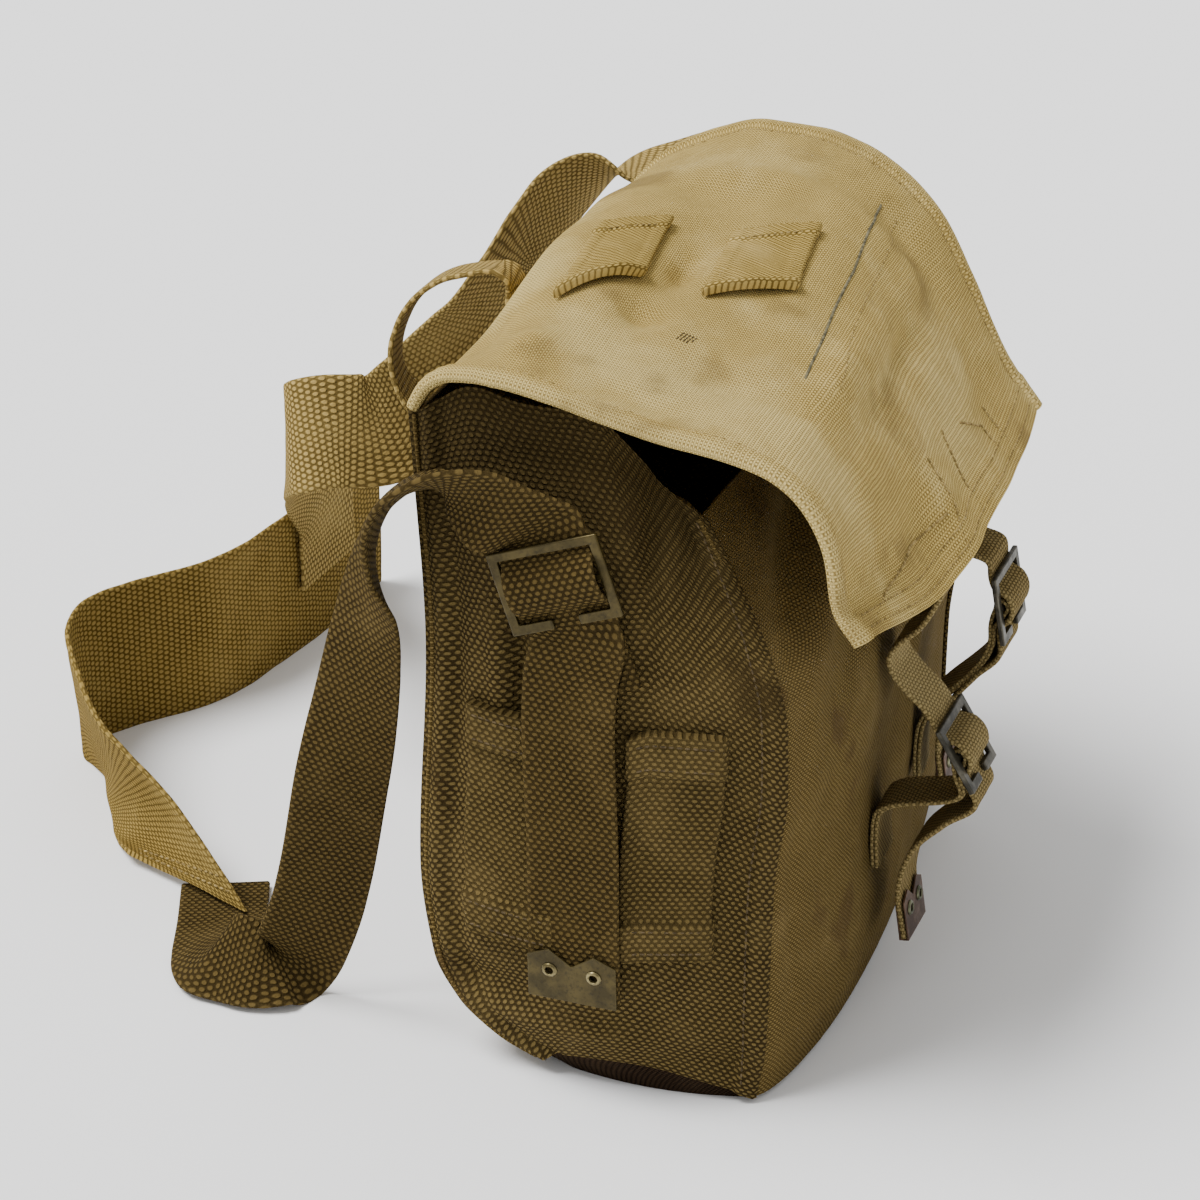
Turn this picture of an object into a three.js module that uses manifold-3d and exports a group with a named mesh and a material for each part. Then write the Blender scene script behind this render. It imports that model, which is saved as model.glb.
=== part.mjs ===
// A webbing haversack that stands on its base: a canvas body with deep webbing gussets, a loose
// lid drawn down by two buckled straps, and a shoulder sling that runs from gusset to gusset.
// Millimetres, +Z up. X runs along the bag, the near gusset at -X. The front faces -Y.
// The origin is at the middle of the base, on the surface that the bag stands on.
import * as THREE from 'three';
import { mergeVertices } from 'three/addons/utils/BufferGeometryUtils.js';
import Module from 'manifold-3d';

const wasm = await Module();
wasm.setup();

// Driving dimensions
const bagLength = 285;
const bagDepth = 152;
const backHeight = 300;
const frontHeight = 268;
const farDrop = 10;
const clothThickness = 2;
const seatGap = 0.3;
const hemThickness = 4.4;
const hemWidth = 5;
const seamStripWidth = 10;
const seamStripRise = 1.2;
const baseRimHeight = 14;
const gussetArch = 10;
const gussetPeak = 13;
const gussetShoulder = 3;

const gussetBulge = 19;
const frontBulge = 14;
const backBulge = 5;

const lidReach = 1.03;
const lidFlareNear = 7;

const webThickness = 2.2;
const tabThickness = 1.5;
const slingWidth = 38;
const farStrapWidth = 50;
const bandWidth = 76;
const closureWidth = 25;
const carryWidth = 25;

const loopWidth = 38;
const loopHeight = 112;
const loopFoot = 64;
const loopOffset = 35;
const loopThickness = 1.8;
const loopEndRise = 1.2;
const loopEndLength = 20;

const keeperLength = 62;
const keeperWidth = 38;
const keeperSkew = 0.45;
const keeperSeat = 1;

const barRadius = 1.2;
const barWidth = 4;
const sideBuckleHeight = 36;
const closureBuckleHeight = 32;
const stubLength = 0.36;
const buckleSlack = 3;
const tailFoot = backHeight * 0.1733;
const sideTabLength = 52;
const closureTabLength = 30;
const tabFoot = frontHeight * 0.2313;
const tabSeat = 1.4;

const chapeThickness = 0.8;
const sideChapeHeight = 25;
const closureChapeHeight = 22;
const eyeletRadius = 3.6;
const eyeletHole = 1.9;
const eyeletThickness = 0.9;

const flapReach = 34;
const underGap = 2.1;
const edgeDrop = 1.6;
const edgeReach = 8;

// Materials
const canvasLid = new THREE.MeshStandardMaterial({ color: 0xb29a66, roughness: 0.95, metalness: 0 });
const canvasBody = new THREE.MeshStandardMaterial({ color: 0x8f7a4a, roughness: 0.95, metalness: 0 });
const webbingDark = new THREE.MeshStandardMaterial({ color: 0x6f5f3a, roughness: 0.95, metalness: 0 });
const webbingLight = new THREE.MeshStandardMaterial({ color: 0x9a8350, roughness: 0.95, metalness: 0 });
const brass = new THREE.MeshStandardMaterial({ color: 0x7a6a3a, roughness: 0.45, metalness: 0.9 });
const darkMetal = new THREE.MeshStandardMaterial({ color: 0x3e4038, roughness: 0.5, metalness: 0.9 });
const brownMetal = new THREE.MeshStandardMaterial({ color: 0x4b3528, roughness: 0.5, metalness: 0.7 });

const haversack = new THREE.Group();
const halfLength = bagLength / 2;
const halfDepth = bagDepth / 2;

function vec(x, y, z) {
  return new THREE.Vector3(x, y, z);
}

function mix(a, b, share) {
  return a + (b - a) * share;
}

// The value of a named column at a place between two rows, as a cubic that never overshoots.
function column(rows, name, at) {
  const last = rows.length - 1;
  if (at <= rows[0].at) return rows[0][name];
  if (at >= rows[last].at) return rows[last][name];
  let i = 0;
  while (rows[i + 1].at < at) i += 1;
  const slope = (j) => (rows[j + 1][name] - rows[j][name]) / (rows[j + 1].at - rows[j].at);
  const bend = (j) => {
    if (j === 0) return slope(0);
    if (j === last) return slope(last - 1);
    const before = slope(j - 1);
    const after = slope(j);
    return before * after <= 0 ? 0 : 2 * before * after / (before + after);
  };
  const width = rows[i + 1].at - rows[i].at;
  const u = (at - rows[i].at) / width;
  const a = 2 * u ** 3 - 3 * u ** 2 + 1;
  const b = u ** 3 - 2 * u ** 2 + u;
  const c = -2 * u ** 3 + 3 * u ** 2;
  const d = u ** 3 - u ** 2;
  return a * rows[i][name] + b * width * bend(i) + c * rows[i + 1][name] + d * width * bend(i + 1);
}

// Rows of evenly spaced shares from one value to another.
function shares(count, from = 0, to = 1) {
  return Array.from({ length: count + 1 }, (_, i) => mix(from, to, i / count));
}

function solidFrom(positions, faces) {
  const geometry = new THREE.BufferGeometry();
  geometry.setAttribute('position', new THREE.Float32BufferAttribute(positions, 3));
  geometry.setIndex(faces);
  let volume = 0;
  const p = (i) => vec(positions[3 * i], positions[3 * i + 1], positions[3 * i + 2]);
  for (let f = 0; f < faces.length; f += 3) {
    volume += p(faces[f]).dot(p(faces[f + 1]).cross(p(faces[f + 2])));
  }
  if (volume < 0) {
    for (let f = 0; f < faces.length; f += 3) {
      [faces[f + 1], faces[f + 2]] = [faces[f + 2], faces[f + 1]];
    }
    geometry.setIndex(faces);
  }
  return geometry;
}

// A closed wall between two grids of points that share their rows and columns.
function wallSolid(outer, inner) {
  const rows = outer.length;
  const cols = outer[0].length;
  const positions = [];
  [outer, inner].forEach((grid) => grid.forEach((row) => row.forEach((q) => positions.push(q.x, q.y, q.z))));
  const faces = [];
  const id = (layer, i, j) => layer * rows * cols + i * cols + j;
  const quad = (a, b, c, d) => faces.push(a, b, c, a, c, d);
  for (let i = 0; i < rows - 1; i += 1) {
    for (let j = 0; j < cols - 1; j += 1) {
      quad(id(0, i, j), id(0, i + 1, j), id(0, i + 1, j + 1), id(0, i, j + 1));
      quad(id(1, i, j), id(1, i, j + 1), id(1, i + 1, j + 1), id(1, i + 1, j));
    }
  }
  for (let i = 0; i < rows - 1; i += 1) {
    quad(id(0, i, 0), id(1, i, 0), id(1, i + 1, 0), id(0, i + 1, 0));
    quad(id(0, i, cols - 1), id(0, i + 1, cols - 1), id(1, i + 1, cols - 1), id(1, i, cols - 1));
  }
  for (let j = 0; j < cols - 1; j += 1) {
    quad(id(0, 0, j), id(0, 0, j + 1), id(1, 0, j + 1), id(1, 0, j));
    quad(id(0, rows - 1, j), id(1, rows - 1, j), id(1, rows - 1, j + 1), id(0, rows - 1, j + 1));
  }
  return solidFrom(positions, faces);
}

// The unit normal of a surface of two parameters, turned to the side that it is told.
function normalOf(surface, u, v, side) {
  const step = 1e-3;
  const du = surface(u + step, v).sub(surface(u - step, v));
  const dv = surface(u, v + step).sub(surface(u, v - step));
  return du.cross(dv).normalize().multiplyScalar(side);
}

// A wall on a surface: it fills the space between two heights above the surface.
function sheetSolid(surface, side, us, vs, low, high) {
  const outer = [];
  const inner = [];
  us.forEach((u) => {
    const outerRow = [];
    const innerRow = [];
    vs.forEach((v) => {
      const place = Array.isArray(v) ? v : [u, v];
      const point = surface(place[0], place[1]);
      const normal = normalOf(surface, place[0], place[1], side);
      outerRow.push(point.clone().addScaledVector(normal, high(place[0], place[1])));
      innerRow.push(point.clone().addScaledVector(normal, low(place[0], place[1])));
    });
    outer.push(outerRow);
    inner.push(innerRow);
  });
  return wallSolid(outer, inner);
}

// A flat strap along stations, each with its middle and its width direction. The width is turned
// square to the run, unless the strap is skewed at a fold.
function strapSolid(stations, width, thickness, skewed = false) {
  const outer = [];
  const inner = [];
  stations.forEach((station, i) => {
    const before = stations[Math.max(0, i - 1)].mid;
    const after = stations[Math.min(stations.length - 1, i + 1)].mid;
    const along = after.clone().sub(before).normalize();
    const across = station.across.clone();
    if (!skewed) across.addScaledVector(along, -across.dot(along));
    across.normalize();
    const face = along.cross(across).normalize();
    const half = width / 2;
    const edge = (side, lift) => station.mid.clone()
      .addScaledVector(across, side * half).addScaledVector(face, lift * thickness / 2);
    outer.push([edge(-1, 1), edge(1, 1)]);
    inner.push([edge(-1, -1), edge(1, -1)]);
  });
  return wallSolid(outer, inner);
}

// Stations on a smooth path through rows of middles and width directions.
function smoothStations(rows, steps) {
  const mids = new THREE.CatmullRomCurve3(rows.map((row) => row.mid), false, 'centripetal');
  const last = rows.length - 1;
  return shares(steps).map((share) => {
    const place = share * last;
    const i = Math.min(last - 1, Math.floor(place));
    const from = rows[i].across.clone().normalize();
    const to = rows[i + 1].across.clone().normalize();
    return { mid: mids.getPoint(share), across: from.lerp(to, place - i).normalize() };
  });
}

function addPiece(name, geometry, material) {
  const mesh = new THREE.Mesh(geometry, material);
  mesh.name = name;
  haversack.add(mesh);
  return mesh;
}

// The four corner seams. Heights are shares of the wall, reaches are shares of half the length,
// and depths are shares of half the depth.
const frontSeamRows = [
  { at: 0, reach: 0.93, depth: -0.87 },
  { at: 0.12, reach: 0.92, depth: -0.91 },
  { at: 0.39, reach: 0.91, depth: -0.93 },
  { at: 0.56, reach: 0.90, depth: -0.99 },
  { at: 0.67, reach: 0.90, depth: -0.98 },
  { at: 0.79, reach: 0.90, depth: -0.88 },
  { at: 0.89, reach: 0.89, depth: -0.72 },
  { at: 1, reach: 0.88, depth: -0.50 },
];
const backSeamRows = [
  { at: 0, reach: 0.96, depth: 0.26 },
  { at: 0.04, reach: 0.97, depth: 0.60 },
  { at: 0.09, reach: 0.975, depth: 0.82 },
  { at: 0.16, reach: 0.975, depth: 0.96 },
  { at: 0.31, reach: 0.975, depth: 1.03 },
  { at: 0.66, reach: 0.975, depth: 0.97 },
  { at: 0.9, reach: 0.975, depth: 1.02 },
  { at: 1, reach: 0.97, depth: 1.05 },
];
// How far each wall swells at a height, as a share of its own bulge.
const swellRows = [
  { at: 0, gusset: 0.35, front: 1.1, back: 0.1 },
  { at: 0.1, gusset: 0.75, front: 1.2, back: 0.5 },
  { at: 0.3, gusset: 1, front: 1, back: 1 },
  { at: 0.55, gusset: 1, front: 0.85, back: 0.9 },
  { at: 0.8, gusset: 0.9, front: 0.45, back: 0.5 },
  { at: 1, gusset: 0.45, front: 0.1, back: 0 },
];

function bow(share) {
  return Math.sin(Math.PI * Math.min(1, Math.max(0, share))) ** 0.8;
}

// The front swells most a little nearer to the near gusset.
function frontBow(share) {
  return bow(Math.min(1, Math.max(0, share)) ** 0.7);
}

function wallTop(height, end) {
  return end < 0 ? height : height - farDrop;
}

function seam(rows, height, end, t) {
  const x = end * column(rows, 'reach', t) * halfLength;
  return vec(x, column(rows, 'depth', t) * halfDepth, t * wallTop(height, end));
}

function frontSeam(end, t) {
  return seam(frontSeamRows, frontHeight, end, t);
}

function backSeam(end, t) {
  return seam(backSeamRows, backHeight, end, t);
}

// The gusset rises to the full height a little behind its front seam.
function gussetPoint(end, s, t) {
  const point = frontSeam(end, t).lerp(backSeam(end, t), s);
  const rise = (wallTop(backHeight, end) - wallTop(frontHeight, end)) * t;
  const between = Math.min(1, Math.max(0, s));
  point.z += rise * (Math.min(1, Math.max(0, s) * gussetShoulder) - s);
  point.z += gussetPeak * Math.max(0, t) ** 4 * Math.sin(Math.PI * between);
  point.x += end * gussetBulge * column(swellRows, 'gusset', t) * bow(s);
  return point;
}

function frontPoint(a, t) {
  const point = frontSeam(-1, t).lerp(frontSeam(1, t), a);
  point.y -= frontBulge * column(swellRows, 'front', t) * frontBow(a);
  return point;
}

function backPoint(a, t) {
  const point = backSeam(-1, t).lerp(backSeam(1, t), a);
  point.y += backBulge * column(swellRows, 'back', t) * bow(a);
  return point;
}

const footGap = clothThickness + seatGap + 0.2;
const wallInset = clothThickness * 1.7 + seatGap;

// The places on the gusset's outer face that lie at a given depth and height.
function gussetPlace(end, y, z) {
  let s = 0.5;
  let t = z / backHeight;
  for (let round = 0; round < 30; round += 1) {
    const here = gussetPoint(end, s, t);
    s += (y - here.y) / bagDepth * 0.8;
    t += (z - here.z) / backHeight * 0.8;
  }
  return [s, t];
}

function gussetSide(end) {
  return (s, t) => gussetPoint(end, s, t);
}

function addGusset(end, name) {
  const surface = gussetSide(end);
  const rows = shares(18, 0, 1).map((t) => {
    const length = backSeam(end, t).distanceTo(frontSeam(end, t));
    const inset = wallInset / length;
    const strip = seamStripWidth / length;
    const middle = shares(11, inset + strip * 1.1, 1 - inset);
    return [inset, inset + strip, ...middle].map((s) => {
      const foot = footGap + gussetArch * Math.sin(Math.PI * s);
      const height = Math.max(t, 0);
      return [s, mix(foot / backHeight, 1, height), inset + strip];
    });
  });
  const side = end;
  const grids = [1, 0].map((layer) => rows.map((row) => row.map(([s, t, edge]) => {
    const lift = layer === 0 ? -clothThickness : (s <= edge ? seamStripRise : 0);
    return surface(s, t).addScaledVector(normalOf(surface, s, t, side), lift);
  })));
  addPiece(name, wallSolid(grids[0], grids[1]), webbingDark);
}

function addBody() {
  const foot = footGap / frontHeight;
  const front = sheetSolid(frontPoint, 1, shares(16), shares(16, foot, 1), () => -clothThickness, () => 0);
  addPiece('front_panel', front, canvasBody);
  const backFoot = (footGap * 1.6) / backHeight;
  const backRows = [backFoot, 0.03, 0.06, 0.1, 0.16, 0.24, 0.35, 0.5, 0.65, 0.8, 0.9, 1];
  const back = sheetSolid(backPoint, -1, shares(14), backRows, () => -clothThickness, () => 0);
  addPiece('back_panel', back, canvasBody);
  addGusset(-1, 'gusset_near');
  addGusset(1, 'gusset_far');
  addBase();
}

// The base is one piece of canvas, flat on the ground, with its two ends turned up inside the
// gussets.
function addBase() {
  const rim = clothThickness * 1.85;
  const inside = (end, s, t) => {
    const point = gussetPoint(end, s, t);
    point.x -= end * rim;
    return point;
  };
  const sideShares = shares(8, 0.035, 0.9);
  const rimShare = baseRimHeight / backHeight;
  const profile = [];
  [1, 0.5, 0].forEach((share) => profile.push((s) => inside(-1, s, rimShare * share)));
  shares(6, 0.1, 0.9).forEach((a) => {
    profile.push((s) => {
      const point = inside(-1, s, 0).lerp(inside(1, s, 0), a);
      point.y -= frontBulge * swellRows[0].front * frontBow(a) * (1 - s) ** 2;
      return point;
    });
  });
  [0, 0.5, 1].forEach((share) => profile.push((s) => inside(1, s, rimShare * share)));
  const outer = profile.map((at) => sideShares.map((s) => at(s)));
  const last = outer.length - 1;
  const inner = outer.map((row, i) => row.map((point) => {
    const end = i <= 2 ? 1 : (i >= last - 2 ? -1 : 0);
    const lift = i >= 2 && i <= last - 2 ? clothThickness : 0;
    return point.clone().add(vec(end * clothThickness, 0, lift));
  }));
  addPiece('base_panel', wallSolid(outer, inner), canvasBody);
}

// The two side edges of the lid from the hinge to the front hem. Depths are shares of half the
// depth, rises are shares of the back's height, above the hinge.
const lidNearRows = [
  { at: 0, depth: 1.05, rise: 0.002 },
  { at: 0.05, depth: 0.95, rise: 0.045 },
  { at: 0.1, depth: 0.82, rise: 0.067 },
  { at: 0.2, depth: 0.55, rise: 0.078 },
  { at: 0.32, depth: 0.20, rise: 0.068 },
  { at: 0.44, depth: -0.10, rise: 0.052 },
  { at: 0.56, depth: -0.42, rise: 0.036 },
  { at: 0.66, depth: -0.70, rise: 0.027 },
  { at: 0.73, depth: -0.93, rise: 0.014 },
  { at: 0.79, depth: -1.13, rise: -0.02 },
  { at: 0.86, depth: -1.28, rise: -0.09 },
  { at: 0.93, depth: -1.33, rise: -0.165 },
  { at: 1, depth: -1.45, rise: -0.215 },
];
const lidFarRows = [
  { at: 0, depth: 1.05, rise: 0.002 },
  { at: 0.1, depth: 0.85, rise: 0.052 },
  { at: 0.22, depth: 0.55, rise: 0.095 },
  { at: 0.33, depth: 0.28, rise: 0.115 },
  { at: 0.44, depth: -0.04, rise: 0.114 },
  { at: 0.55, depth: -0.28, rise: 0.099 },
  { at: 0.65, depth: -0.54, rise: 0.062 },
  { at: 0.74, depth: -0.76, rise: 0.004 },
  { at: 0.82, depth: -0.93, rise: -0.076 },
  { at: 0.9, depth: -1.10, rise: -0.172 },
  { at: 1, depth: -1.38, rise: -0.275 },
];
// Dents and folds of the lid: where along and down it, how wide and long, and how high as a share
// of the bag's height.
const lidDents = [
  { along: 0.2, down: 0.04, wide: 0.12, long: 0.1, rise: -0.0433 },
  { along: 0.42, down: 0.36, wide: 0.2, long: 0.07, rise: -0.0167 },
  { along: 0.3, down: 0.3, wide: 0.12, long: 0.14, rise: 0.01 },
  { along: 0.62, down: 0.6, wide: 0.16, long: 0.12, rise: 0.0167 },
  { along: 0.3, down: 1, wide: 0.22, long: 0.2, rise: -0.0433 },
  { along: 0.75, down: 0.92, wide: 0.15, long: 0.12, rise: -0.0167 },
  { along: 0.55, down: 0.08, wide: 0.3, long: 0.2, rise: 0.0367 },
];
const lidFrontSag = 0.086;
const lidHinge = 0.08;

function lidPoint(u, v) {
  const near = vec(0, 0, 0);
  const far = vec(0, 0, 0);
  const flare = Math.sin(Math.PI * Math.min(1, Math.max(0, v))) * lidFlareNear;
  const reach = mix(0.965, lidReach, Math.min(1, Math.max(0, v) * 5));
  near.x = -halfLength * reach - flare * 0.5;
  near.y = column(lidNearRows, 'depth', v) * halfDepth;
  near.z = backHeight * (1 + column(lidNearRows, 'rise', v)) + seatGap;
  far.x = halfLength * mix(0.965, 0.985, Math.min(1, Math.max(0, v) * 5));
  far.y = column(lidFarRows, 'depth', v) * halfDepth;
  far.z = wallTop(backHeight, 1) + backHeight * column(lidFarRows, 'rise', v) + seatGap;
  const point = near.lerp(far, u);
  const hinge = Math.min(1, Math.max(0, v) / lidHinge);
  lidDents.forEach((dent) => {
    const a = (u - dent.along) / dent.wide;
    const b = (v - dent.down) / dent.long;
    point.z += backHeight * dent.rise * Math.exp(-a * a - b * b) * hinge;
  });
  const sag = Math.sin(Math.PI * Math.min(1, Math.max(0, u))) * Math.max(0, v - 0.8) * 5;
  point.y -= bagDepth * lidFrontSag * sag;
  return point;
}

function addLid() {
  const hemShare = hemWidth / bagLength;
  const us = [0, hemShare, ...shares(13, hemShare * 2, 1 - hemShare), 1];
  const vs = [0.004, 0.04, 0.09, ...shares(17, 0.14, 1)];
  const hem = (u) => (u <= hemShare || u >= 0.99 ? (hemThickness - clothThickness) / 2 : 0);
  const low = (u) => -hem(u);
  const high = (u) => clothThickness + hem(u);
  addPiece('lid', sheetSolid(lidPoint, -1, us, vs, low, high), canvasLid);
}

// A webbing loop sewn to a surface by its two doubled ends.
function loopSolid(surface, side, centre, acrossShare, alongShare, endShare, clear) {
  const us = shares(4, centre[0] - acrossShare / 2, centre[0] + acrossShare / 2);
  const from = centre[1] - alongShare / 2;
  const to = centre[1] + alongShare / 2;
  const steps = [from, from + endShare, from + endShare * 1.15, centre[1], to - endShare * 1.15,
    to - endShare, to];
  const doubled = (v) => (v <= from + endShare * 1.01 || v >= to - endShare * 1.01 ? loopEndRise : 0);
  const high = (u, v) => clear + loopThickness + doubled(v);
  return sheetSolid(surface, side, us, steps, () => clear, high);
}

function addGussetLoops(end, word) {
  const surface = gussetSide(end);
  [[1, 'back'], [-1, 'front']].forEach(([depthSide, place]) => {
    const centre = gussetPlace(end, depthSide * loopOffset, loopFoot + loopHeight / 2);
    const across = loopWidth / bagDepth;
    const geometry = loopSolid(surface, end, centre, across, loopHeight / backHeight,
      loopEndLength / backHeight, seatGap);
    addPiece(`gusset_loop_${word}_${place}`, geometry, webbingDark);
  });
}

// The two keepers on the lid lie side by side, their length along the bag.
const keeperRows = [
  { name: 'lid_keeper_back', along: 0.40, down: 0.25 },
  { name: 'lid_keeper_front', along: 0.50, down: 0.52 },
];

function addKeepers() {
  keeperRows.forEach((row) => {
    const flipped = (v, u) => lidPoint(u + keeperSkew * (v - row.down), v);
    const across = keeperWidth / (lidPoint(0.5, 0).distanceTo(lidPoint(0.5, 0.5)) * 2);
    const geometry = loopSolid(flipped, 1, [row.down, row.along], across, keeperLength / bagLength,
      loopEndLength * 0.5 / bagLength, clothThickness + keeperSeat);
    addPiece(row.name, geometry, canvasLid);
  });
}

// A frame of reference on a buckle: its middle, up along the strap, out of the cloth, and across.
function makeFrame(middle, up, out) {
  const across = up.clone().cross(out).normalize();
  return { middle, up: up.clone().normalize(), out: out.clone().normalize(), across };
}

function inFrame(frame, up, out, across = 0) {
  return frame.middle.clone().addScaledVector(frame.up, up)
    .addScaledVector(frame.out, out).addScaledVector(frame.across, across);
}

const barSeat = webThickness / 2 + seatGap + barRadius;
const barCorner = barRadius * 1.45;
const overBar = barCorner + tabThickness + seatGap * 2 + webThickness / 2;

// The strap's path through a buckle, from below to above: under the cut bar, over the middle bar
// and its tab, and under the top bar. Heights are measured from the plane of the bars.
function threadedPath(height) {
  const edge = height / 2 - barWidth / 2;
  const dive = edge - barWidth * 0.9;
  return [
    [-edge - barWidth * 2, -barSeat - seatGap * 2], [-edge, -barSeat], [-dive, -barSeat + 0.5],
    [-dive * 0.5, overBar * 0.72], [0, overBar], [dive * 0.5, overBar * 0.72],
    [dive, -barSeat + 0.5], [edge, -barSeat], [edge + barWidth * 1.9, -barSeat],
  ];
}

// The tab's path round the middle bar. Both legs lie under the strap.
function tabPath(height) {
  const edge = height / 2 - barWidth / 2;
  const dive = edge - barWidth * 0.9;
  const turn = barCorner + seatGap + tabThickness / 2;
  const upper = -barSeat - webThickness / 2 - seatGap - tabThickness / 2 - 0.6;
  const lower = upper - tabThickness - seatGap;
  const round = shares(6, -90, 90).map((degrees) => {
    const angle = THREE.MathUtils.degToRad(degrees);
    return [turn * Math.cos(angle), turn * Math.sin(angle)];
  });
  const start = [[-edge, lower], [-dive, lower + 0.4], [-dive * 0.5, (lower - turn) / 2 - 0.3]];
  const finish = [[-dive * 0.5, (upper + turn) / 2 + 0.9], [-dive, upper + 0.4], [-edge, upper]];
  return { start, round, finish, upper, lower };
}

// A buckle is one casting: a frame with a middle bar and a foot bar that is cut in the middle.
function buckleGeometry(innerWidth, height) {
  const halfIn = innerWidth / 2;
  const halfOut = halfIn + barWidth;
  const top = height / 2;
  const outline = new THREE.Shape();
  const gap = innerWidth * (0.5 - stubLength);
  outline.moveTo(-halfOut, -top);
  outline.lineTo(-gap, -top);
  outline.lineTo(-gap, -top + barWidth);
  outline.lineTo(-halfIn, -top + barWidth);
  outline.lineTo(-halfIn, -barRadius);
  outline.lineTo(halfIn, -barRadius);
  outline.lineTo(halfIn, -top + barWidth);
  outline.lineTo(gap, -top + barWidth);
  outline.lineTo(gap, -top);
  outline.lineTo(halfOut, -top);
  outline.lineTo(halfOut, top);
  outline.lineTo(-halfOut, top);
  outline.closePath();
  const window = new THREE.Path();
  window.moveTo(-halfIn, barRadius);
  window.lineTo(-halfIn, top - barWidth);
  window.lineTo(halfIn, top - barWidth);
  window.lineTo(halfIn, barRadius);
  window.closePath();
  outline.holes.push(window);
  const geometry = new THREE.ExtrudeGeometry(outline, { depth: barRadius * 2, bevelEnabled: false });
  geometry.translate(0, 0, -barRadius);
  return geometry;
}

function placeInFrame(geometry, frame, up, out, across = 0) {
  const matrix = new THREE.Matrix4().makeBasis(frame.across, frame.up, frame.out);
  matrix.setPosition(inFrame(frame, up, out, across));
  return geometry.applyMatrix4(matrix);
}

function toManifold(geometry) {
  geometry.deleteAttribute('normal');
  geometry.deleteAttribute('uv');
  const merged = mergeVertices(geometry, 1e-4);
  return new wasm.Manifold(new wasm.Mesh({
    numProp: 3,
    vertProperties: new Float32Array(merged.attributes.position.array),
    triVerts: new Uint32Array(merged.index.array),
  }));
}

function fromManifold(solid) {
  const mesh = solid.getMesh();
  const geometry = new THREE.BufferGeometry();
  geometry.setAttribute('position', new THREE.Float32BufferAttribute(mesh.vertProperties, 3));
  geometry.setIndex(Array.from(mesh.triVerts));
  return geometry;
}

// A chape: a plate folded round the strap's end, with a heart-shaped top and two eyelet holes.
function chapeGeometry(width, height, round) {
  const reach = round / 2 + seatGap;
  const wall = reach + chapeThickness;
  const profile = new THREE.Shape();
  profile.moveTo(-wall, height);
  profile.lineTo(-wall, -chapeThickness - seatGap);
  profile.lineTo(wall, -chapeThickness - seatGap);
  profile.lineTo(wall, height);
  profile.lineTo(reach, height);
  profile.lineTo(reach, -seatGap);
  profile.lineTo(-reach, -seatGap);
  profile.lineTo(-reach, height);
  profile.closePath();
  const plate = new THREE.ExtrudeGeometry(profile, { depth: width, bevelEnabled: false });
  plate.translate(0, 0, -width / 2);
  plate.rotateY(-Math.PI / 2);
  let solid = toManifold(plate);
  const cutter = new THREE.Shape();
  const lobe = height * 0.16;
  cutter.moveTo(-width, height * 1.3);
  cutter.lineTo(-width, height * 0.78);
  cutter.lineTo(-width / 2, height * 0.8);
  cutter.lineTo(-width / 4, height * 0.8 + lobe);
  cutter.lineTo(0, height * 0.68);
  cutter.lineTo(width / 4, height * 0.8 + lobe);
  cutter.lineTo(width / 2, height * 0.8);
  cutter.lineTo(width, height * 0.78);
  cutter.lineTo(width, height * 1.3);
  cutter.closePath();
  const notch = new THREE.ExtrudeGeometry(cutter, { depth: wall * 4, bevelEnabled: false });
  notch.translate(0, 0, -wall * 2);
  solid = solid.subtract(toManifold(notch));
  [-1, 1].forEach((side) => {
    const hole = new THREE.CylinderGeometry(eyeletHole, eyeletHole, chapeThickness * 3, 10);
    hole.rotateX(Math.PI / 2);
    hole.translate(side * width / 4, height * 0.55, wall);
    solid = solid.subtract(toManifold(hole));
  });
  return { geometry: fromManifold(solid), wall };
}

function eyeletGeometry() {
  const profile = [
    new THREE.Vector2(eyeletHole, 0), new THREE.Vector2(eyeletRadius, 0),
    new THREE.Vector2(eyeletRadius * 0.8, eyeletThickness), new THREE.Vector2(eyeletHole, eyeletThickness),
    new THREE.Vector2(eyeletHole, 0),
  ];
  const ring = new THREE.LatheGeometry(profile, 12);
  ring.rotateX(Math.PI / 2);
  return ring;
}

function addChape(names, frame, width, height, material) {
  const plateWidth = width + 1;
  const chape = chapeGeometry(plateWidth, height, webThickness);
  addPiece(names, placeInFrame(chape.geometry, frame, 0, 0), material);
  [-1, 1].forEach((side) => {
    const ring = placeInFrame(eyeletGeometry(), frame, height * 0.55, chape.wall + seatGap * 0.5,
      side * plateWidth / 4);
    addPiece(`${names}_eyelet_${side < 0 ? 'a' : 'b'}`, ring, material);
  });
}

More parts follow.
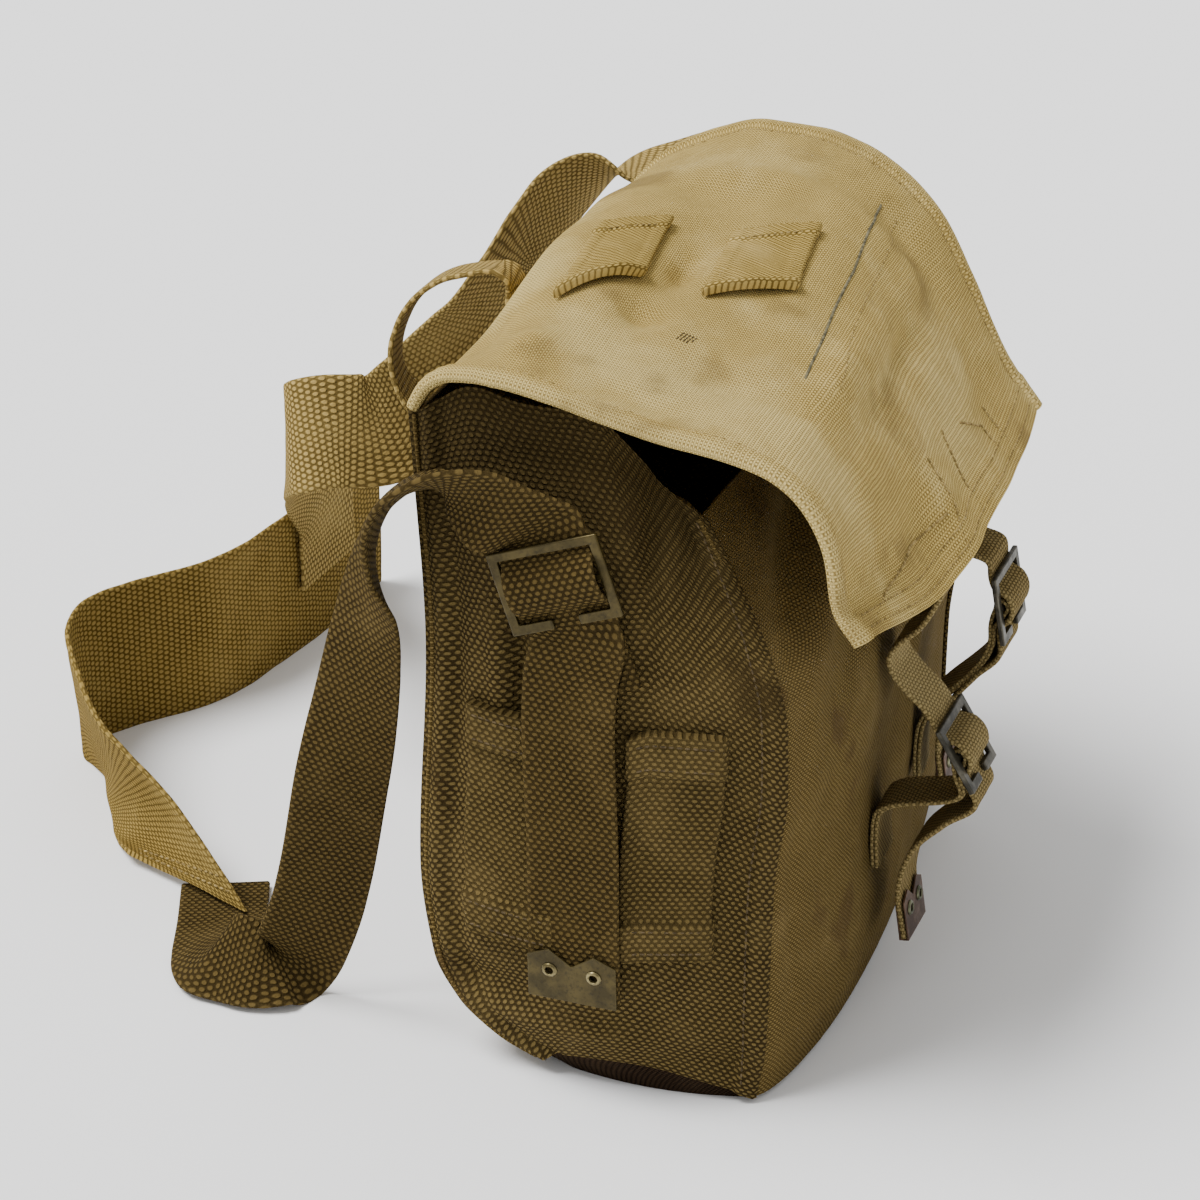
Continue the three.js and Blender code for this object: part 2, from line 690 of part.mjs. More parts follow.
// The shoulder sling's free run, by hand: each row has its middle and its width direction, in
// shares of half the length, half the depth and the back's height.
const nearSlingRows = [
  { along: -1.155, depth: 0.42, rise: 0.91, wx: -0.45, wy: -0.76, wz: 0.48 },
  { along: -1.16, depth: 0.60, rise: 0.94, wx: -0.66, wy: -0.56, wz: 0.48 },
  { along: -1.155, depth: 0.82, rise: 0.945, wx: -0.85, wy: -0.30, wz: 0.40 },
  { along: -1.115, depth: 1.04, rise: 0.905, wx: -0.90, wy: -0.22, wz: 0.36 },
  { along: -1.04, depth: 1.23, rise: 0.82, wx: -0.86, wy: -0.36, wz: 0.36 },
  { along: -0.96, depth: 1.32, rise: 0.72, wx: -0.62, wy: -0.72, wz: 0.30 },
  { along: -0.935, depth: 1.40, rise: 0.60, wx: -0.30, wy: -0.94, wz: 0.14 },
  { along: -0.935, depth: 1.50, rise: 0.47, wx: 0.05, wy: -0.99, wz: 0.02 },
  { along: -0.90, depth: 1.63, rise: 0.33, wx: 0.25, wy: -0.96, wz: -0.02 },
  { along: -0.87, depth: 1.763, rise: 0.18, wx: 0.30, wy: -0.94, wz: -0.12 },
  { along: -0.863, depth: 1.882, rise: 0.095, wx: 0.22, wy: -0.93, wz: -0.28 },
  { along: -0.835, depth: 2.013, rise: 0.0425, wx: -0.05, wy: -0.90, wz: -0.42 },
  { along: -0.888, depth: 2.099, rise: 0.0485, wx: -0.60, wy: -0.55, wz: -0.58 },
  { along: -0.90, depth: 2.303, rise: 0.0535, wx: -0.72, wy: -0.10, wz: -0.68 },
  { along: -0.888, depth: 2.447, rise: 0.051, wx: -0.66, wy: 0.42, wz: -0.62 },
  { along: -0.80, depth: 2.518, rise: 0.0335, wx: -0.42, wy: 0.82, wz: -0.38 },
  { along: -0.6386, depth: 2.612, rise: 0.0155, wx: -0.36, wy: 0.92, wz: -0.12 },
  { along: -0.502, depth: 2.697, rise: 0.0068, wx: -0.34, wy: 0.94, wz: 0 },
  { along: -0.365, depth: 2.803, rise: 0.006, wx: -0.34, wy: 0.94, wz: 0 },
];
const bandRows = [
  { along: -0.435, depth: 3.00, rise: 0.0205, wx: -0.37, wy: -0.93, wz: 0 },
  { along: -0.358, depth: 3.171, rise: 0.0307, wx: -0.42, wy: -0.88, wz: 0.2 },
  { along: -0.253, depth: 3.382, rise: 0.0605, wx: -0.50, wy: -0.74, wz: 0.43 },
  { along: -0.154, depth: 3.645, rise: 0.088, wx: -0.58, wy: -0.50, wz: 0.64 },
  { along: -0.056, depth: 3.842, rise: 0.101, wx: -0.60, wy: -0.28, wz: 0.75 },
  { along: 0.084, depth: 4.092, rise: 0.1195, wx: -0.40, wy: -0.10, wz: 0.91 },
  { along: 0.2035, depth: 4.276, rise: 0.1275, wx: -0.15, wy: 0, wz: 0.99 },
  { along: 0.337, depth: 4.316, rise: 0.1285, wx: 0, wy: 0, wz: 1 },
  { along: 0.442, depth: 4.224, rise: 0.1285, wx: 0, wy: 0, wz: 1 },
  { along: 0.6035, depth: 4.013, rise: 0.1285, wx: 0, wy: 0, wz: 1 },
  { along: 0.765, depth: 3.789, rise: 0.1285, wx: 0, wy: 0, wz: 1 },
  { along: 1.0175, depth: 3.645, rise: 0.1285, wx: 0, wy: 0, wz: 1 },
  { along: 1.291, depth: 3.553, rise: 0.1285, wx: 0, wy: 0, wz: 1 },
  { along: 1.754, depth: 3.447, rise: 0.1285, wx: 0, wy: 0, wz: 1 },
];
const farStrapRows = [
  { along: 1.36, depth: 3.50, rise: 0.115, wx: 0.99, wy: -0.12, wz: 0 },
  { along: 1.355, depth: 3.50, rise: 0.19, wx: 0.99, wy: -0.12, wz: 0.02 },
  { along: 1.33, depth: 3.485, rise: 0.26, wx: 0.97, wy: -0.12, wz: 0.2 },
  { along: 1.18, depth: 3.42, rise: 0.34, wx: 0.85, wy: -0.20, wz: 0.45 },
  { along: 0.88, depth: 3.24, rise: 0.45, wx: 0.66, wy: -0.10, wz: 0.74 },
  { along: 0.58, depth: 3.09, rise: 0.535, wx: 0.42, wy: 0.20, wz: 0.88 },
  { along: 0.45, depth: 2.91, rise: 0.58, wx: 0.36, wy: 0.20, wz: 0.90 },
  { along: 0.47, depth: 2.69, rise: 0.595, wx: 0.36, wy: 0.16, wz: 0.91 },
  { along: 0.58, depth: 2.45, rise: 0.585, wx: 0.25, wy: 0.30, wz: 0.90 },
  { along: 0.74, depth: 2.26, rise: 0.64, wx: -0.25, wy: 0.35, wz: 0.85 },
  { along: 0.84, depth: 2.09, rise: 0.72, wx: -0.60, wy: 0.10, wz: 0.75 },
  { along: 0.85, depth: 1.93, rise: 0.785, wx: -0.75, wy: 0, wz: 0.67 },
  { along: 0.885, depth: 1.79, rise: 0.847, wx: -0.78, wy: 0.10, wz: 0.60 },
  { along: 1.05, depth: 1.69, rise: 0.885, wx: -0.80, wy: 0.20, wz: 0.45 },
  { along: 1.22, depth: 1.50, rise: 0.915, wx: -0.85, wy: 0.30, wz: 0.20 },
  { along: 1.29, depth: 1.18, rise: 0.935, wx: -0.92, wy: 0.30, wz: -0.10 },
  { along: 1.27, depth: 0.80, rise: 0.95, wx: -0.75, wy: 0.52, wz: -0.38 },
  { along: 1.17, depth: 0.42, rise: 0.925, wx: -0.20, wy: 0.95, wz: -0.25 },
];

function slingPoint(row) {
  return {
    mid: vec(row.along * halfLength, row.depth * halfDepth, row.rise * backHeight),
    across: vec(row.wx, row.wy, row.wz),
  };
}

// What hangs on one gusset: the tab, the buckle, the sling's threaded end with its tail, the chape
// and its eyelets. The tail stands clear of the loops' doubled ends.
const buckleDepth = 12;
const buckleLevel = backHeight * 0.8167;
const buckleTilt = 20;
const tailDepth = 5;
const tailJoin = 24;
const tailLift = seatGap * 3 + loopThickness + loopEndRise + chapeThickness + webThickness / 2;

function sideFrame(end) {
  const [s, t] = gussetPlace(end, buckleDepth, buckleLevel);
  const surface = gussetSide(end);
  const out = normalOf(surface, s, t, end);
  const angle = THREE.MathUtils.degToRad(buckleTilt);
  const up = vec(0, Math.sin(angle), Math.cos(angle));
  up.addScaledVector(out, -up.dot(out)).normalize();
  const middle = surface(s, t).addScaledVector(out, tailLift + barSeat);
  return makeFrame(middle, up, out);
}

function onGusset(end, y, z, lift) {
  const [s, t] = gussetPlace(end, y, z);
  const surface = gussetSide(end);
  return surface(s, t).addScaledVector(normalOf(surface, s, t, end), lift);
}

function tailStations(end, frame, top) {
  const levels = shares(9, tailFoot, top - tailJoin);
  const side = frame.across.y < 0 ? -1 : 1;
  return levels.map((z) => {
    const share = Math.max(0, (z - top + 40) / 40);
    const depth = mix(tailDepth, mix(tailDepth, buckleDepth, 0.3), share);
    const across = vec(0, side, 0).lerp(frame.across, share * 0.6).normalize();
    return { mid: onGusset(end, depth, z, tailLift), across };
  });
}

function threadedStations(frame, height) {
  return threadedPath(height).map(([up, out]) => ({ mid: inFrame(frame, up, out), across: frame.across }));
}

function tabStations(frame, height, foot) {
  const path = tabPath(height);
  const points = [...path.start, ...path.round, ...path.finish];
  const stations = points.map(([up, out]) => ({ mid: inFrame(frame, up, out), across: frame.across }));
  const legs = foot(path);
  return [...legs.lower, ...stations, ...legs.upper];
}

function addSideFittings(end, word, strapWidth) {
  const frame = sideFrame(end);
  const inner = strapWidth + buckleSlack;
  const buckle = placeInFrame(buckleGeometry(inner, sideBuckleHeight), frame, 0, 0);
  addPiece(`side_buckle_${word}`, buckle, brass);
  const edge = sideBuckleHeight / 2 - barWidth / 2;
  const foot = (path) => {
    const out = (level) => level + tailLift + barSeat;
    const legPoint = (share, level) => {
      const down = edge + share * (sideTabLength - edge);
      const flat = inFrame(frame, -down, level);
      const near = onGusset(end, flat.y, flat.z, out(level));
      return { mid: flat.lerp(near, Math.min(1, share * 2)), across: frame.across };
    };
    return {
      lower: [1, 0.66, 0.33].map((share) => legPoint(share, path.lower)),
      upper: [0.33, 0.66, 1].map((share) => legPoint(share, path.upper)),
    };
  };
  const tabWidth = slingWidth - 4;
  const tab = strapSolid(tabStations(frame, sideBuckleHeight, foot), tabWidth, tabThickness);
  addPiece(`side_tab_${word}`, tab, webbingDark);
  const tail = tailStations(end, frame, buckleLevel - sideBuckleHeight / 2);
  const tailUp = tail[1].mid.clone().sub(tail[0].mid).normalize();
  const tailOut = frame.out.clone().addScaledVector(tailUp, -frame.out.dot(tailUp)).normalize();
  const tailAcross = tail[0].across.clone().addScaledVector(tailUp, -tail[0].across.dot(tailUp));
  const flatOut = tailAcross.clone().cross(tailUp).normalize();
  const outward = flatOut.dot(tailOut) < 0 ? flatOut.negate() : flatOut;
  const chapeFrame = makeFrame(tail[0].mid, tailUp, outward);
  addChape(`side_chape_${word}`, chapeFrame, strapWidth, sideChapeHeight, brass);
  return { frame, stations: [...tail, ...threadedStations(frame, sideBuckleHeight)] };
}

function addSling() {
  const near = addSideFittings(-1, 'near', slingWidth);
  const far = addSideFittings(1, 'far', farStrapWidth);
  const joinSteps = 56;
  const nearEnd = near.stations[near.stations.length - 1];
  const nearFree = smoothStations([nearEnd, ...nearSlingRows.map(slingPoint)], joinSteps);
  const nearAll = [...near.stations, ...nearFree.slice(1)];
  addPiece('sling_near_strap', strapSolid(nearAll, slingWidth, webThickness), webbingDark);
  const band = smoothStations(bandRows.map(slingPoint), 44);
  addPiece('shoulder_band', strapSolid(band, bandWidth, webThickness, true), webbingLight);
  const farEnd = far.stations[far.stations.length - 1];
  const farRows = [farEnd, ...farStrapRows.map(slingPoint).reverse()];
  const farFree = smoothStations(farRows, joinSteps);
  const farAll = [...far.stations, ...farFree.slice(1)];
  addPiece('sling_far_strap', strapSolid(farAll, farStrapWidth, webThickness), webbingLight);
}

// The carrying loop arches out behind the bag. Both of its ends are sewn to the middle of the back.
const carryRows = [
  { along: -0.084, depth: 1.066, rise: 0.90, wx: 1, wy: 0, wz: 0 },
  { along: -0.084, depth: 1.098, rise: 0.965, wx: 1, wy: 0.02, wz: -0.05 },
  { along: -0.063, depth: 1.13, rise: 1.01, wx: 0.97, wy: 0.08, wz: -0.18 },
  { along: -0.075, depth: 1.203, rise: 1.029, wx: 0.95, wy: 0.20, wz: -0.25 },
  { along: -0.084, depth: 1.374, rise: 1.022, wx: 0.95, wy: 0.20, wz: -0.25 },
  { along: -0.094, depth: 1.507, rise: 1.011, wx: 0.95, wy: 0.20, wz: -0.25 },
  { along: -0.103, depth: 1.605, rise: 0.994, wx: 0.95, wy: 0.20, wz: -0.25 },
  { along: -0.118, depth: 1.693, rise: 0.971, wx: 0.95, wy: 0.20, wz: -0.25 },
  { along: -0.135, depth: 1.754, rise: 0.94, wx: 0.95, wy: 0.20, wz: -0.25 },
  { along: -0.157, depth: 1.779, rise: 0.909, wx: 0.95, wy: 0.20, wz: -0.25 },
  { along: -0.172, depth: 1.763, rise: 0.868, wx: 0.95, wy: 0.20, wz: -0.25 },
  { along: -0.168, depth: 1.645, rise: 0.82, wx: 0.98, wy: 0.10, wz: -0.12 },
  { along: -0.14, depth: 1.42, rise: 0.787, wx: 1, wy: 0.05, wz: -0.05 },
  { along: -0.105, depth: 1.21, rise: 0.76, wx: 1, wy: 0, wz: 0 },
  { along: -0.084, depth: 1.075, rise: 0.72, wx: 1, wy: 0, wz: 0 },
  { along: -0.084, depth: 1.05, rise: 0.667, wx: 1, wy: 0, wz: 0 },
];

function addCarryLoop() {
  const stations = smoothStations(carryRows.map(slingPoint), 34);
  addPiece('carry_loop', strapSolid(stations, carryWidth, webThickness), webbingLight);
}

// The two front closures: where each buckle's middle bar lies along the bag, how far it stands out
// from the front and how high, and how much it leans out at its foot.
const closureRows = [
  { word: 'near', along: bagLength * -0.0702, stand: 37, level: frontHeight * 0.4627, lean: 31 },
  { word: 'far', along: bagLength * 0.2035, stand: 36, level: frontHeight * 0.5821, lean: 10 },
];

// How far below its buckle each station of a closure's tail hangs, and how far in towards the front
// a tail lies at a drop, as a share of the way.
const tailDrops = [74, 49, 30, 14];
const tailRows = [
  { at: 0, inward: 0 },
  { at: 14, inward: 0.3 },
  { at: 30, inward: 0.6 },
  { at: 49, inward: 0.72 },
  { at: 74, inward: 0.64 },
];

function frontPlace(x, z) {
  let a = 0.5;
  let t = z / frontHeight;
  for (let round = 0; round < 30; round += 1) {
    const here = frontPoint(a, t);
    a += (x - here.x) / bagLength * 0.8;
    t += (z - here.z) / frontHeight * 0.8;
  }
  return frontPoint(a, t);
}

function lidEdge(x) {
  let u = 0.5;
  for (let round = 0; round < 30; round += 1) u += (x - lidPoint(u, 1).x) / bagLength * 0.8;
  return u;
}

function addClosure(row) {
  const face = frontPlace(row.along, row.level);
  const lean = THREE.MathUtils.degToRad(row.lean);
  const up = vec(0, Math.sin(lean), Math.cos(lean));
  const out = vec(0, -Math.cos(lean), Math.sin(lean));
  const middle = vec(row.along, face.y - row.stand, row.level);
  const frame = makeFrame(middle, up, out);
  const inner = closureWidth + buckleSlack;
  addPiece(`closure_buckle_${row.word}`,
    placeInFrame(buckleGeometry(inner, closureBuckleHeight), frame, 0, 0), darkMetal);

  const onFront = (z, lift) => frontPlace(row.along, z).add(vec(0, -lift, 0));
  const foot = (path) => {
    const across = frontPlace(row.along + 5, tabFoot).sub(frontPlace(row.along - 5, tabFoot)).normalize();
    if (across.dot(frame.across) < 0) across.negate();
    const lift = (level) => tabSeat + (level === path.lower ? 0 : tabThickness + seatGap);
    const leg = (level) => [
      { mid: onFront(tabFoot, lift(level)), across },
      { mid: onFront(tabFoot + closureTabLength * 0.5, lift(level)), across },
      { mid: onFront(tabFoot + closureTabLength * 0.85, lift(level) + 1), across },
    ];
    return { lower: leg(path.lower), upper: leg(path.upper).reverse() };
  };
  const tab = strapSolid(tabStations(frame, closureBuckleHeight, foot), closureWidth - 2, tabThickness);
  addPiece(`closure_tab_${row.word}`, tab, webbingDark);

  const threaded = threadedStations(frame, closureBuckleHeight);
  const low = threaded[0].mid;
  const tail = tailDrops.map((drop) => {
    const inward = (face.y - low.y) * column(tailRows, 'inward', drop);
    return { mid: vec(row.along, low.y + inward, low.z - drop), across: frame.across };
  });
  const u = lidEdge(row.along);
  const under = (v, lift) => {
    const point = lidPoint(u, v);
    const normal = normalOf(lidPoint, u, v, -1);
    const down = -webThickness / 2 - underGap - lift;
    const across = lidPoint(u + 0.01, v).sub(lidPoint(u - 0.01, v)).normalize();
    if (across.dot(frame.across) < 0) across.negate();
    return { mid: point.addScaledVector(normal, down), across };
  };
  const top = threaded[threaded.length - 1].mid;
  const edge = under(0.97, edgeDrop).mid;
  const onward = edge.clone().sub(under(0.9, 0).mid).normalize();
  const tip = edge.clone().addScaledVector(onward, edgeReach);
  const sag = onFront(mix(top.z, edge.z, 0.3), webThickness + 3);
  const slack = [
    { mid: sag, across: frame.across },
    { mid: vec(row.along, mix(sag.y, tip.y, 0.62), mix(top.z, edge.z, 0.56)), across: frame.across },
    { mid: vec(row.along, tip.y + 1, mix(top.z, edge.z, 0.78)), across: frame.across },
    { mid: tip, across: frame.across },
  ];
  const upper = smoothStations([threaded[threaded.length - 1], ...slack, under(0.97, edgeDrop),
    under(0.9, edgeDrop / 2), under(0.84, 0)], 26);
  const strap = strapSolid([...tail, ...threaded, ...upper.slice(1)], closureWidth, webThickness);
  addPiece(`closure_strap_${row.word}`, strap, webbingDark);

  const tailUp = tail[1].mid.clone().sub(tail[0].mid).normalize();
  const tailOut = frame.across.clone().cross(tailUp).normalize();
  const outward = tailOut.y > 0 ? tailOut.negate() : tailOut;
  addChape(`closure_chape_${row.word}`, makeFrame(tail[0].mid, tailUp, outward), closureWidth,
    closureChapeHeight, brownMetal);
}

// The weather flaps are small corners of webbing that fold in over the mouth at each end.
function addWeatherFlap(end, word) {
  const surface = (a, b) => {
    const top = gussetPoint(end, mix(0.5, 0.86, a), 0.985);
    const inward = flapReach * b * (1 - 0.55 * Math.abs(a - 0.6));
    return top.add(vec(-end * (clothThickness + seatGap * 2 + inward), 0, -inward * 0.35));
  };
  const geometry = sheetSolid(surface, end < 0 ? -1 : 1, shares(4), shares(4), () => -clothThickness,
    () => 0);
  addPiece(`weather_flap_${word}`, geometry, webbingDark);
}

addBody();
addLid();
addGussetLoops(-1, 'near');
addGussetLoops(1, 'far');
addKeepers();
addSling();
addCarryLoop();
closureRows.forEach(addClosure);
addWeatherFlap(-1, 'near');
addWeatherFlap(1, 'far');

export default haversack;
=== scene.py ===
import math
import bmesh
import bpy
import numpy as np
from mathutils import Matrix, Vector


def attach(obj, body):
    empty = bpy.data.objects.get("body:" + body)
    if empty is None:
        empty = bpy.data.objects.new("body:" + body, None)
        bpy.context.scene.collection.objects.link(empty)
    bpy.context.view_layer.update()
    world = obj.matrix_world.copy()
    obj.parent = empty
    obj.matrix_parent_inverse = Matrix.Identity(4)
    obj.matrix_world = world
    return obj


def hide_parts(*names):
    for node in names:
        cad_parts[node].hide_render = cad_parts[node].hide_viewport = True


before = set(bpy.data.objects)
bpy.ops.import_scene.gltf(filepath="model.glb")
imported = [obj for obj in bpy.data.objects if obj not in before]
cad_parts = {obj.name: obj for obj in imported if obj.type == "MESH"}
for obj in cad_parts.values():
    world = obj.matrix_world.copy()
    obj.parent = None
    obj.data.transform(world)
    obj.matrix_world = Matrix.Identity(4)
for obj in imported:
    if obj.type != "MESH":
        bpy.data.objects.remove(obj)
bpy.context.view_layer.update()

# ---------------------------------------------------------------- gussets
# The two end walls: thick cotton webbing with a seed weave, deep from front to back. Each is sewn
# to the front and back canvas by a folded strip, and its foot arches up over the base.
BAG_LENGTH, BAG_DEPTH, BACK_HEIGHT, FRONT_HEIGHT, FAR_DROP = 285.0, 152.0, 300.0, 268.0, 10.0
CANVAS, GUSSET_BULGE, GUSSET_PEAK, GUSSET_ARCH, GUSSET_SHOULDER = 2.0, 19.0, 13.0, 13.0, 3.0
# corners sharper than this are drawn hard, and the points of a rounded edge stand at these angles
# (degrees), as far out on the cloth's own map as these shares of half its thickness
HARD_CORNER, ROUND_ANGLES, ROUND_REACH = 62, [50, 0, -50], (0.8, 1.6, 0.8)
# share of the wall's height, reach (share of half the length), depth (share of half the depth)
FRONT_SEAM = [(0, .93, -.87), (.12, .92, -.91), (.39, .91, -.93), (.56, .90, -.99), (.67, .90, -.98),
              (.79, .90, -.88), (.89, .89, -.72), (1, .88, -.50)]
BACK_SEAM = [(0, .96, .26), (.04, .97, .60), (.09, .975, .82), (.16, .975, .96), (.31, .975, 1.03),
             (.66, .975, .97), (.9, .975, 1.02), (1, .97, 1.05)]
# share of the wall's height, swell of the gusset, of the front and of the back
SWELL = [(0, .35, 1.1, .1), (.1, .75, 1.2, .5), (.3, 1, 1, 1), (.55, 1, .85, .9), (.8, .9, .45, .5),
         (1, .45, .1, 0)]


def column(rows, at):
    """Cubic Hermite through rows of (at, values...) with harmonic mean slopes: it never overshoots."""
    rows = np.asarray(rows, float)
    x, y = rows[:, 0], rows[:, 1:]
    slope = np.diff(y, axis=0) / np.diff(x)[:, None]
    bend = np.empty_like(y)
    bend[0], bend[-1] = slope[0], slope[-1]
    total = slope[:-1] + slope[1:]
    product = slope[:-1] * slope[1:]
    bend[1:-1] = np.where(product > 0, 2 * product / np.where(product > 0, total, 1), 0)
    at = np.clip(at, x[0], x[-1])
    i = np.clip(np.searchsorted(x, at, side="right") - 1, 0, len(x) - 2)
    w = (x[i + 1] - x[i])[..., None]
    u = ((at - x[i]) / (x[i + 1] - x[i]))[..., None]
    return ((2 * u**3 - 3 * u**2 + 1) * y[i] + (u**3 - 2 * u**2 + u) * w * bend[i]
            + (3 * u**2 - 2 * u**3) * y[i + 1] + (u**3 - u**2) * w * bend[i + 1])


def bow(share):
    """A half sine over the share, made a little fuller."""
    return np.abs(np.sin(np.pi * np.clip(share, 0, 1))) ** 0.8


def seam_line(rows, height, end, t):
    """A corner seam: reach and depth from its rows, at a share t of the wall's height."""
    c = column(rows, t)
    top = height - (FAR_DROP if end > 0 else 0)
    return np.stack([end * c[..., 0] * BAG_LENGTH / 2, c[..., 1] * BAG_DEPTH / 2, t * top], -1)


def gusset_at(end, s, t):
    """Front seam to back seam at share s, lifted to the full height behind the front, and bowed out."""
    s, t = np.broadcast_arrays(np.asarray(s, float), np.asarray(t, float))
    a = seam_line(FRONT_SEAM, FRONT_HEIGHT, end, t)
    b = seam_line(BACK_SEAM, BACK_HEIGHT, end, t)
    p = a + (b - a) * s[..., None]
    rise = (BACK_HEIGHT - FRONT_HEIGHT) * t
    p[..., 2] += rise * (np.clip(s * GUSSET_SHOULDER, 0, 1) - s)
    p[..., 2] += GUSSET_PEAK * np.clip(t, 0, 1) ** 4 * np.sin(np.pi * np.clip(s, 0, 1))
    p[..., 0] += end * GUSSET_BULGE * column(SWELL, t)[..., 0] * bow(s)
    return p


def normals_of(p, toward):
    """Cross product of the grid's two directions, turned to the side that toward points to."""
    n = np.cross(np.gradient(p, axis=0), np.gradient(p, axis=1))
    n /= np.linalg.norm(n, axis=-1, keepdims=True) + 1e-12
    side = np.sign((n * np.asarray(toward, float)).sum(-1).mean())
    return n * side


def shell(name, p, toward, high, low, uv, material, replaces):
    """A closed wall on a grid of points: the two faces stand off the grid by high and low along its
    normal, and half rounds close the two long edges. All in millimetres."""
    rows, cols = p.shape[:2]
    n = normals_of(p, toward)
    high = np.broadcast_to(high, (rows, cols))[..., None]
    low = np.broadcast_to(low, (rows, cols))[..., None]
    outer, inner = p + n * high, p + n * low

    def half_round(j, step, order):
        """Three points round a long edge, on a half circle between the two faces."""
        away = p[:, j] - p[:, j + step]
        away /= np.linalg.norm(away, axis=-1, keepdims=True)
        middle, half = (outer[:, j] + inner[:, j]) / 2, (high[:, j] - low[:, j]) / 2
        angles = np.radians(ROUND_ANGLES)[::order]
        return np.stack([middle + half * (np.cos(a) * away + np.sin(a) * n[:, j])
                         for a in angles], 1)

    def edge_uv(j, step):
        """The same three points on the cloth's own map."""
        away = uv[:, j] - uv[:, j + step]
        away /= np.linalg.norm(away, axis=-1, keepdims=True) + 1e-9
        half = (high[:, j] - low[:, j]) / 2
        return np.stack([uv[:, j] + away * half * k for k in ROUND_REACH], 1)

    ring = np.concatenate([outer, half_round(-1, -1, 1), inner[:, ::-1], half_round(0, 1, -1)], 1)
    ring_uv = np.concatenate([uv, edge_uv(-1, -1), uv[:, ::-1], edge_uv(0, 1)], 1)
    around = ring.shape[1]
    i = np.arange(rows - 1)[:, None] * around
    j = np.arange(around)[None, :]
    k = (j + 1) % around
    quads = np.stack([i + j, i + k, i + around + k, i + around + j], -1).reshape(-1, 4)
    c = np.arange(cols - 1)
    back = 2 * cols + 2 - c
    ladder = np.stack([c + 1, c, back, back - 1], -1)  # closes the first and the last row
    last = (rows - 1) * around
    caps = np.concatenate([ladder, ladder[:, ::-1] + last])
    arc = [cols - 1 + m for m in range(5)]
    other = [2 * cols + 2 + m for m in range(4)] + [0]
    fives = [arc[::-1], other[::-1], [v + last for v in arc], [v + last for v in other]]
    verts = ring.reshape(-1, 3)
    a, b, d, e = (verts[quads[:, m]] for m in range(4))
    volume = (a * np.cross(b, d)).sum() + (a * np.cross(d, e)).sum()
    faces = np.concatenate([quads, caps])
    if volume < 0:
        faces = faces[:, ::-1]
        fives = [f[::-1] for f in fives]
    piece = piece_from(name, verts, faces.tolist() + fives, ring_uv.reshape(-1, 2), material)
    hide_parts(*replaces)


def piece_from(name, verts, faces, uv, material):
    """A mesh in metres from points in millimetres, smooth but for its hard corners. uv is its own map in
    millimetres, or None for a piece whose material needs no map."""
    mesh = bpy.data.meshes.new(name)
    mesh.from_pydata((np.asarray(verts) / 1000).tolist(), [], faces)
    if uv is not None:
        corner = np.empty(len(mesh.loops), np.int64)
        mesh.loops.foreach_get("vertex_index", corner)
        layer = mesh.uv_layers.new(name="UVMap")
        layer.data.foreach_set("uv", np.asarray(uv, np.float32)[corner].ravel())
    mesh.polygons.foreach_set("use_smooth", np.ones(len(mesh.polygons), bool))
    mesh.set_sharp_from_angle(angle=math.radians(HARD_CORNER))
    mesh.materials.append(material)
    piece = bpy.data.objects.new(name, mesh)
    bpy.context.scene.collection.objects.link(piece)
    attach(piece, "root")
    return piece


def add_node(tree, kind, inputs=None, **settings):
    """One shader node. Its inputs are numbers, colours or other nodes' sockets."""
    node = tree.nodes.new(kind)
    for key, value in settings.items():
        setattr(node, key, value)
    for key, value in (inputs or {}).items():
        if isinstance(value, bpy.types.NodeSocket):
            tree.links.new(value, node.inputs[key])
        else:
            node.inputs[key].default_value = value
    return node


def math_node(tree, operation, a, b=0.0, c=0.0):
    """One Math node's result."""
    return add_node(tree, "ShaderNodeMath", {0: a, 1: b, 2: c}, operation=operation).outputs[0]


def blend(tree, share, a, b):
    """Two colours mixed by a share."""
    node = add_node(tree, "ShaderNodeMix", {0: share}, data_type="RGBA")
    for key, value in ((6, a), (7, b)):
        if isinstance(value, bpy.types.NodeSocket):
            tree.links.new(value, node.inputs[key])
        else:
            node.inputs[key].default_value = (*value, 1)
    return node.outputs[2]


def noise(tree, place, scale, detail=3.0, rough=0.55):
    """Noise from 0 to 1, in solid space."""
    return add_node(tree, "ShaderNodeTexNoise", {"Vector": place, "Scale": scale, "Detail": detail,
                                                 "Roughness": rough}).outputs["Fac"]


def ramp(tree, value, low, high):
    """A value from 0 at low to 1 at high, with soft ends."""
    return add_node(tree, "ShaderNodeMapRange", {"Value": value, "From Min": low, "From Max": high},
                    interpolation_type="SMOOTHSTEP").outputs["Result"]


